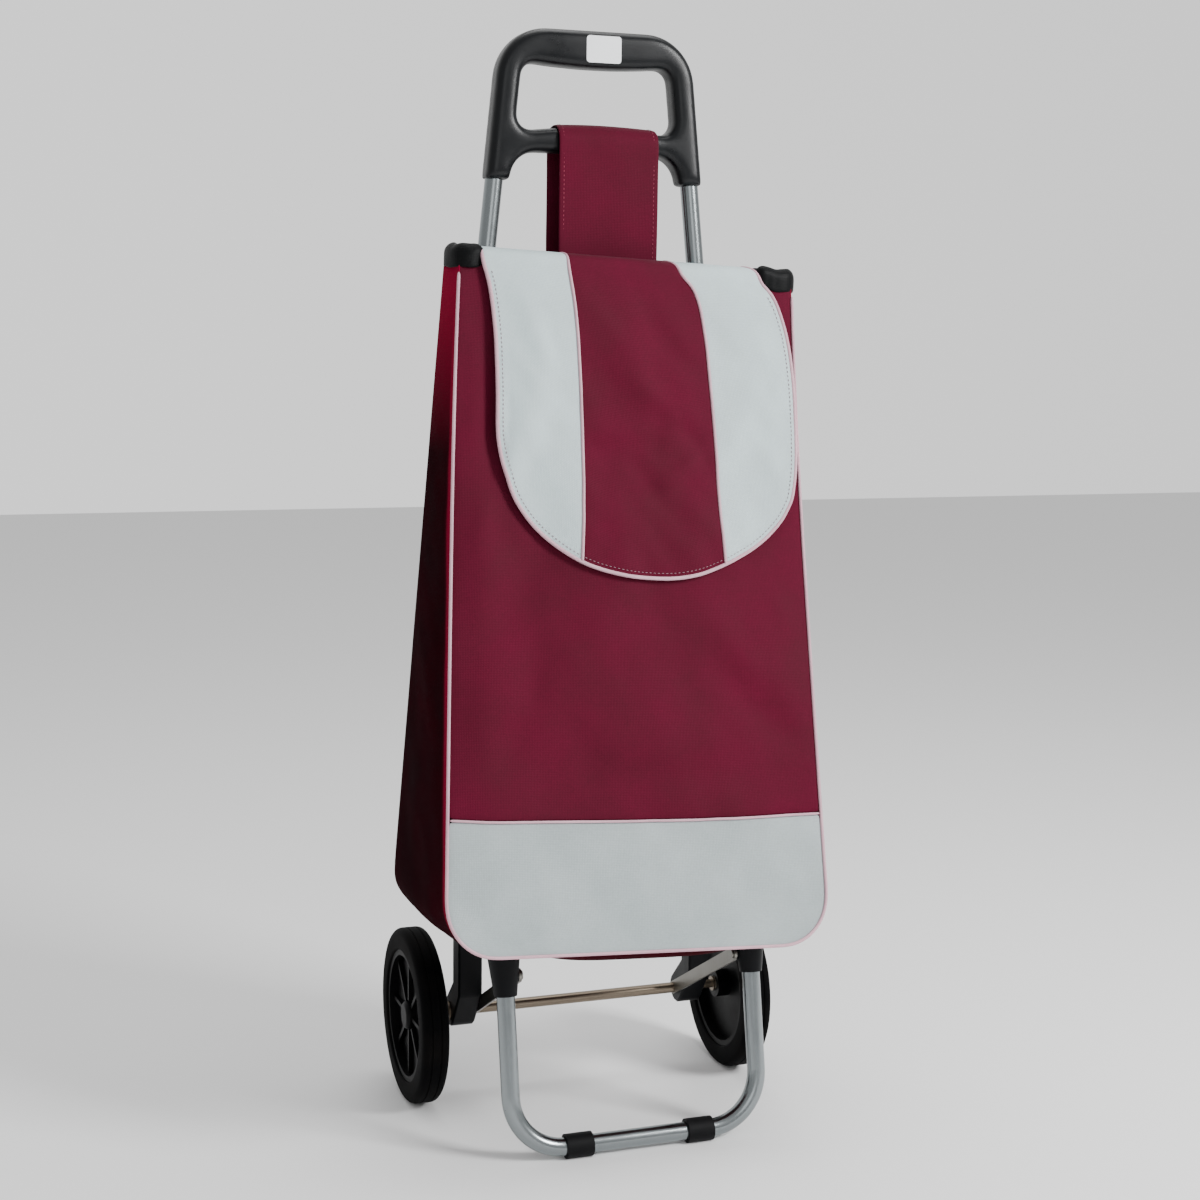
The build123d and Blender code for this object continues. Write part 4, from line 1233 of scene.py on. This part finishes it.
def makeStrap():
    path = strapPath()
    width = strap["width"]
    bm = bandAlong(path, Vector((1, 0, 0)), width, strap["columns"], strap["ripple"])
    for vert in bm.verts:
        # the edges curl a little, away from the crossbar
        share = (vert.co.x - middleX - strap["middleX"] * mm) / (width / 2 * mm)
        away = -1 if vert.co.y < axleY + strap["splitY"] * mm else 1
        vert.co.z -= archDrop(vert.co.x, vert.co.z)
        vert.co.y += strap["edgeCurl"] * mm * share**4 * away
    bmesh.ops.recalc_face_normals(bm, faces=bm.faces)
    area = sum(f.calc_area() for f in bm.faces)
    wall = strap["thick"]
    piece = addPiece(
        "hangingStrap", bm, maroonPolyester, levels=1, thickness=wall, offset=0, replaced=("hanging_strap",)
    )


makeStrap()


# the sewn loops round the tubes, in millimetres
loops = dict(width=22, wall=1.4, columns=6, clear=1.2, seamNear=16, seamFar=27, backLift=0.6)


def loopPath(side, height):
    # round the back of a tube from the bag's back panel and back to it
    tubeLow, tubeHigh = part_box(f"{side}_tube")
    sign = -1 if side == "left" else 1
    centreX = tubeLow.x + tubeRadius if side == "left" else tubeHigh.x - tubeRadius
    centreY = (tubeLow.y + tubeHigh.y) / 2
    reach = tubeRadius + loops["clear"] * mm
    backY = axleY + (bag["backY"] + loops["backLift"]) * mm
    seams = [sign * loops[key] * mm for key in ("seamFar", "seamNear")]
    points = [Vector((centreX - seam, backY, height)) for seam in seams]
    for k in range(13):
        angle = math.pi * k / 12
        x, y = centreX - sign * reach * math.cos(angle), centreY + reach * math.sin(angle)
        points.append(Vector((x, y, height)))
    points += [Vector((centreX + seam, backY, height)) for seam in reversed(seams)]
    return evenly([smoothCurve(points, k / 60) for k in range(61)], 3 * mm)


def makeLoops():
    for side in ("left", "right"):
        node = f"{side}_tube_loops"
        low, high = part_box(node)
        inset = loops["width"] / 2 * mm
        whole = bmesh.new()
        merged = bpy.data.meshes.new("loopScratch")
        for height in (low.z + inset, high.z - inset):
            bm = bandAlong(loopPath(side, height), Vector((0, 0, 1)), loops["width"], loops["columns"])
            bm.to_mesh(merged)
            bm.free()
            whole.from_mesh(merged)
        bpy.data.meshes.remove(merged)
        bmesh.ops.recalc_face_normals(whole, faces=whole.faces)
        name, wall = f"{side}TubeLoops", loops["wall"]
        piece = addPiece(name, whole, blackLining, levels=1, thickness=wall, offset=0, replaced=(node,))


makeLoops()
print("strap, collar and loops made")

# lines of stitching beside the flap's piping and along the strap's hems, in millimetres
hems = dict(flapInset=4.6, flapRise=1.3, strapInset=4.5, strapRise=1.1)


def flapOutline():
    # the front of the flap's outline, in bag millimetres
    left = [smoothCurve([Vector(p) for p in flap["outerLeft"]], k / 40) for k in range(2, 40)]
    low = [lowEdgePoint(k / 80, (0, 10)) for k in range(81)]
    right = [smoothCurve([Vector(p) for p in flap["outerRight"]], k / 40) for k in range(39, 1, -1)]
    return left + low + right


def makeFlapStitches():
    outline = flapOutline()
    path = []
    for a, b in zip(outline, outline[1:]):
        along = (b - a).normalized()
        inside = (a + b) / 2 + Vector((-along.y, along.x)) * hems["flapInset"]
        path.append(flapSurface(inside.x, inside.y) + Vector((0, -hems["flapRise"] * mm, 0)))
    bm = bmesh.new()
    addStitches(bm, path, Vector((0, -1, 0)))
    piece = addPiece("flapStitching", bm, stitchPale, body=None)
    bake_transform(piece)


def makeStrapStitches():
    path = strapPath()
    bm = bmesh.new()
    for sign in (-1, 1):
        offset = sign * (strap["width"] / 2 - hems["strapInset"]) * mm
        line = []
        for point, following in zip(path, path[1:]):
            along = (following - point).normalized()
            out = Vector((0, -along.z, along.y)) * (hems["strapRise"] * mm)
            across = point.x + offset
            line.append(Vector((across, point.y, point.z - archDrop(across, point.z))) + out)
        addStitches(bm, line, Vector((0, -1, 0.01)))
    piece = addPiece("strapStitching", bm, stitchThread)


makeFlapStitches()
makeStrapStitches()
print("stitched")

# the grip: its two moulded halves with every edge well rounded; millimetres, and the legs' lean in degrees
grip = dict(voxel=1.5, passes=16, split=0.12, legInside=8.6, legTop=919, legLean=5.95)


def legCentre(side, z):
    # the tube's centre line inside the grip's leg
    low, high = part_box(f"{side}_tube")
    sign = -1 if side == "left" else 1
    topX = high.x - tubeRadius if side == "left" else low.x + tubeRadius
    lean = math.tan(math.radians(grip["legLean"]))
    return Vector((topX - sign * (z - high.z) * lean, (low.y + high.y) / 2, z))


def makeGrip():
    bm = bmesh.new()
    names = ("handle_front_shell", "handle_rear_shell")
    for name in names:
        bm.from_mesh(frame["nodes"][name].data)
    bmesh.ops.remove_doubles(bm, verts=bm.verts, dist=0.02 * mm)
    low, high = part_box(names[0])
    for side in ("left", "right"):
        a, b = legCentre(side, low.z + 0.4 * mm), legCentre(side, grip["legTop"] * mm)
        turn = (b - a).to_track_quat("Z", "Y").to_matrix().to_4x4()
        bmesh.ops.create_cone(
            bm,
            cap_ends=True,
            segments=48,
            radius1=grip["legInside"] * mm,
            radius2=grip["legInside"] * mm,
            depth=(b - a).length,
            matrix=Matrix.Translation((a + b) / 2) @ turn,
        )
    rough = bpy.data.meshes.new("gripRough")
    bm.to_mesh(rough)
    bm.free()
    blank = bpy.data.objects.new("gripRough", rough)
    bpy.context.scene.collection.objects.link(blank)
    remesh = blank.modifiers.new("voxels", "REMESH")
    remesh.mode = "VOXEL"
    remesh.voxel_size = grip["voxel"] * mm
    made = bpy.data.meshes.new_from_object(blank.evaluated_get(bpy.context.evaluated_depsgraph_get()))
    bpy.data.objects.remove(blank)
    whole = bmesh.new()
    whole.from_mesh(made)
    for _ in range(grip["passes"]):
        bmesh.ops.smooth_vert(
            whole, verts=whole.verts, factor=0.5, use_axis_x=True, use_axis_y=True, use_axis_z=True
        )
    for name, facing, replaced in (("gripFrontHalf", -1, names[0]), ("gripRearHalf", 1, names[1])):
        half = whole.copy()
        # the front shell's back face is where the two halves meet
        plane = Vector((0, high.y + facing * grip["split"] * mm, 0))
        bmesh.ops.bisect_plane(
            half,
            geom=list(half.verts) + list(half.edges) + list(half.faces),
            plane_co=plane,
            plane_no=Vector((0, -facing, 0)),
            clear_outer=True,
        )
        rim = [e for e in half.edges if e.is_boundary]
        bmesh.ops.triangle_fill(half, edges=rim, use_beauty=True, normal=(0, -facing, 0))
        piece = addPiece(name, half, gripPlastic, replaced=(replaced,))
        piece.data.set_sharp_from_angle(angle=math.radians(50))
        print(name, len(piece.data.polygons), "faces")
    whole.free()
    bpy.data.meshes.remove(made)
    bpy.data.meshes.remove(rough)


makeGrip()

# tyres, turned round the axle with a rounded tread and two thin grooves, in millimetres
tyre = dict(steps=128, treadRound=6.48, edgeRound=2.0, groove=0.7, grooveWide=1.4, grooveAt=4.2)


def makeTyre(side):
    low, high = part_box(f"{side}_tyre")
    rimLow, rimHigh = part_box(f"{side}_rim")
    centre = Vector(((low.x + high.x) / 2, axleY, axleZ))
    outer, inner = (high.z - low.z) / 2, (rimHigh.z - rimLow.z) / 2
    half = (high.x - low.x) / 2
    deep, wide, at = tyre["groove"] * mm, tyre["grooveWide"] / 2 * mm, tyre["grooveAt"] * mm
    points = [(-half, inner), (-half, outer)]
    for where in (-at, at):
        points += [(where - wide, outer), (where - wide / 2, outer - deep)]
        points += [(where + wide / 2, outer - deep), (where + wide, outer)]
    points += [(half, outer), (half, inner)]
    bm = bmesh.new()
    verts = [bm.verts.new(centre + Vector((x, 0, r))) for x, r in points]
    bm.faces.new(verts)
    rounding = dict(profile=0.5, affect="VERTICES", material=-1)
    bmesh.ops.bevel(
        bm, geom=[verts[1], verts[-2]], offset=tyre["treadRound"] * mm, segments=7, **rounding
    )
    bm.verts.ensure_lookup_table()
    feet = [v for v in bm.verts if v.co.z < centre.z + inner + 0.01 * mm]
    bmesh.ops.bevel(bm, geom=feet, offset=tyre["edgeRound"] * mm, segments=3, **rounding)
    bmesh.ops.delete(bm, geom=list(bm.faces), context="FACES_ONLY")
    bmesh.ops.spin(
        bm,
        geom=list(bm.verts) + list(bm.edges),
        cent=centre,
        axis=(1, 0, 0),
        angle=2 * math.pi,
        steps=tyre["steps"],
        use_merge=True,
        use_duplicate=False,
    )
    bmesh.ops.remove_doubles(bm, verts=bm.verts, dist=0.005 * mm)
    bmesh.ops.recalc_face_normals(bm, faces=bm.faces)
    piece = addPiece(f"{side}TyreRubber", bm, tyreRubber, body=f"{side}_wheel", replaced=(f"{side}_tyre",))
    piece.data.set_sharp_from_angle(angle=math.radians(40))


for side in ("left", "right"):
    makeTyre(side)
print("grip and tyres made")

# finishes of the parts that keep their shape
nodeFinishes = {
    polishedTube: ("left_tube", "right_tube", "front_stand", "left_platform_rail", "right_platform_rail"),
    zincStrip: ("left_stay", "right_stay", "stay_rivets"),
    zincSteel: (
        "axle",
        "axle_spacer_tube",
        "axle_washers",
        "hub_clips",
        "axle_end_nuts",
        "bracket_screws",
        "elbow_screws",
        "handle_screws",
    ),
    bracketPlastic: ("left_wheel_bracket", "right_wheel_bracket", "left_elbow", "right_elbow"),
    sleeveRubber: ("left_foot_sleeve", "right_foot_sleeve"),
    wheelPlastic: ("left_rim", "right_rim", "left_hub_cap", "right_hub_cap"),
    bushNylon: ("left_bush", "right_bush"),
    labelPaper: ("handle_label",),
    boardFibre: ("bag_base_board",),
}
for material, names in nodeFinishes.items():
    for name in names:
        node = frame["nodes"][name]
        node.data.materials.clear()
        node.data.materials.append(material)
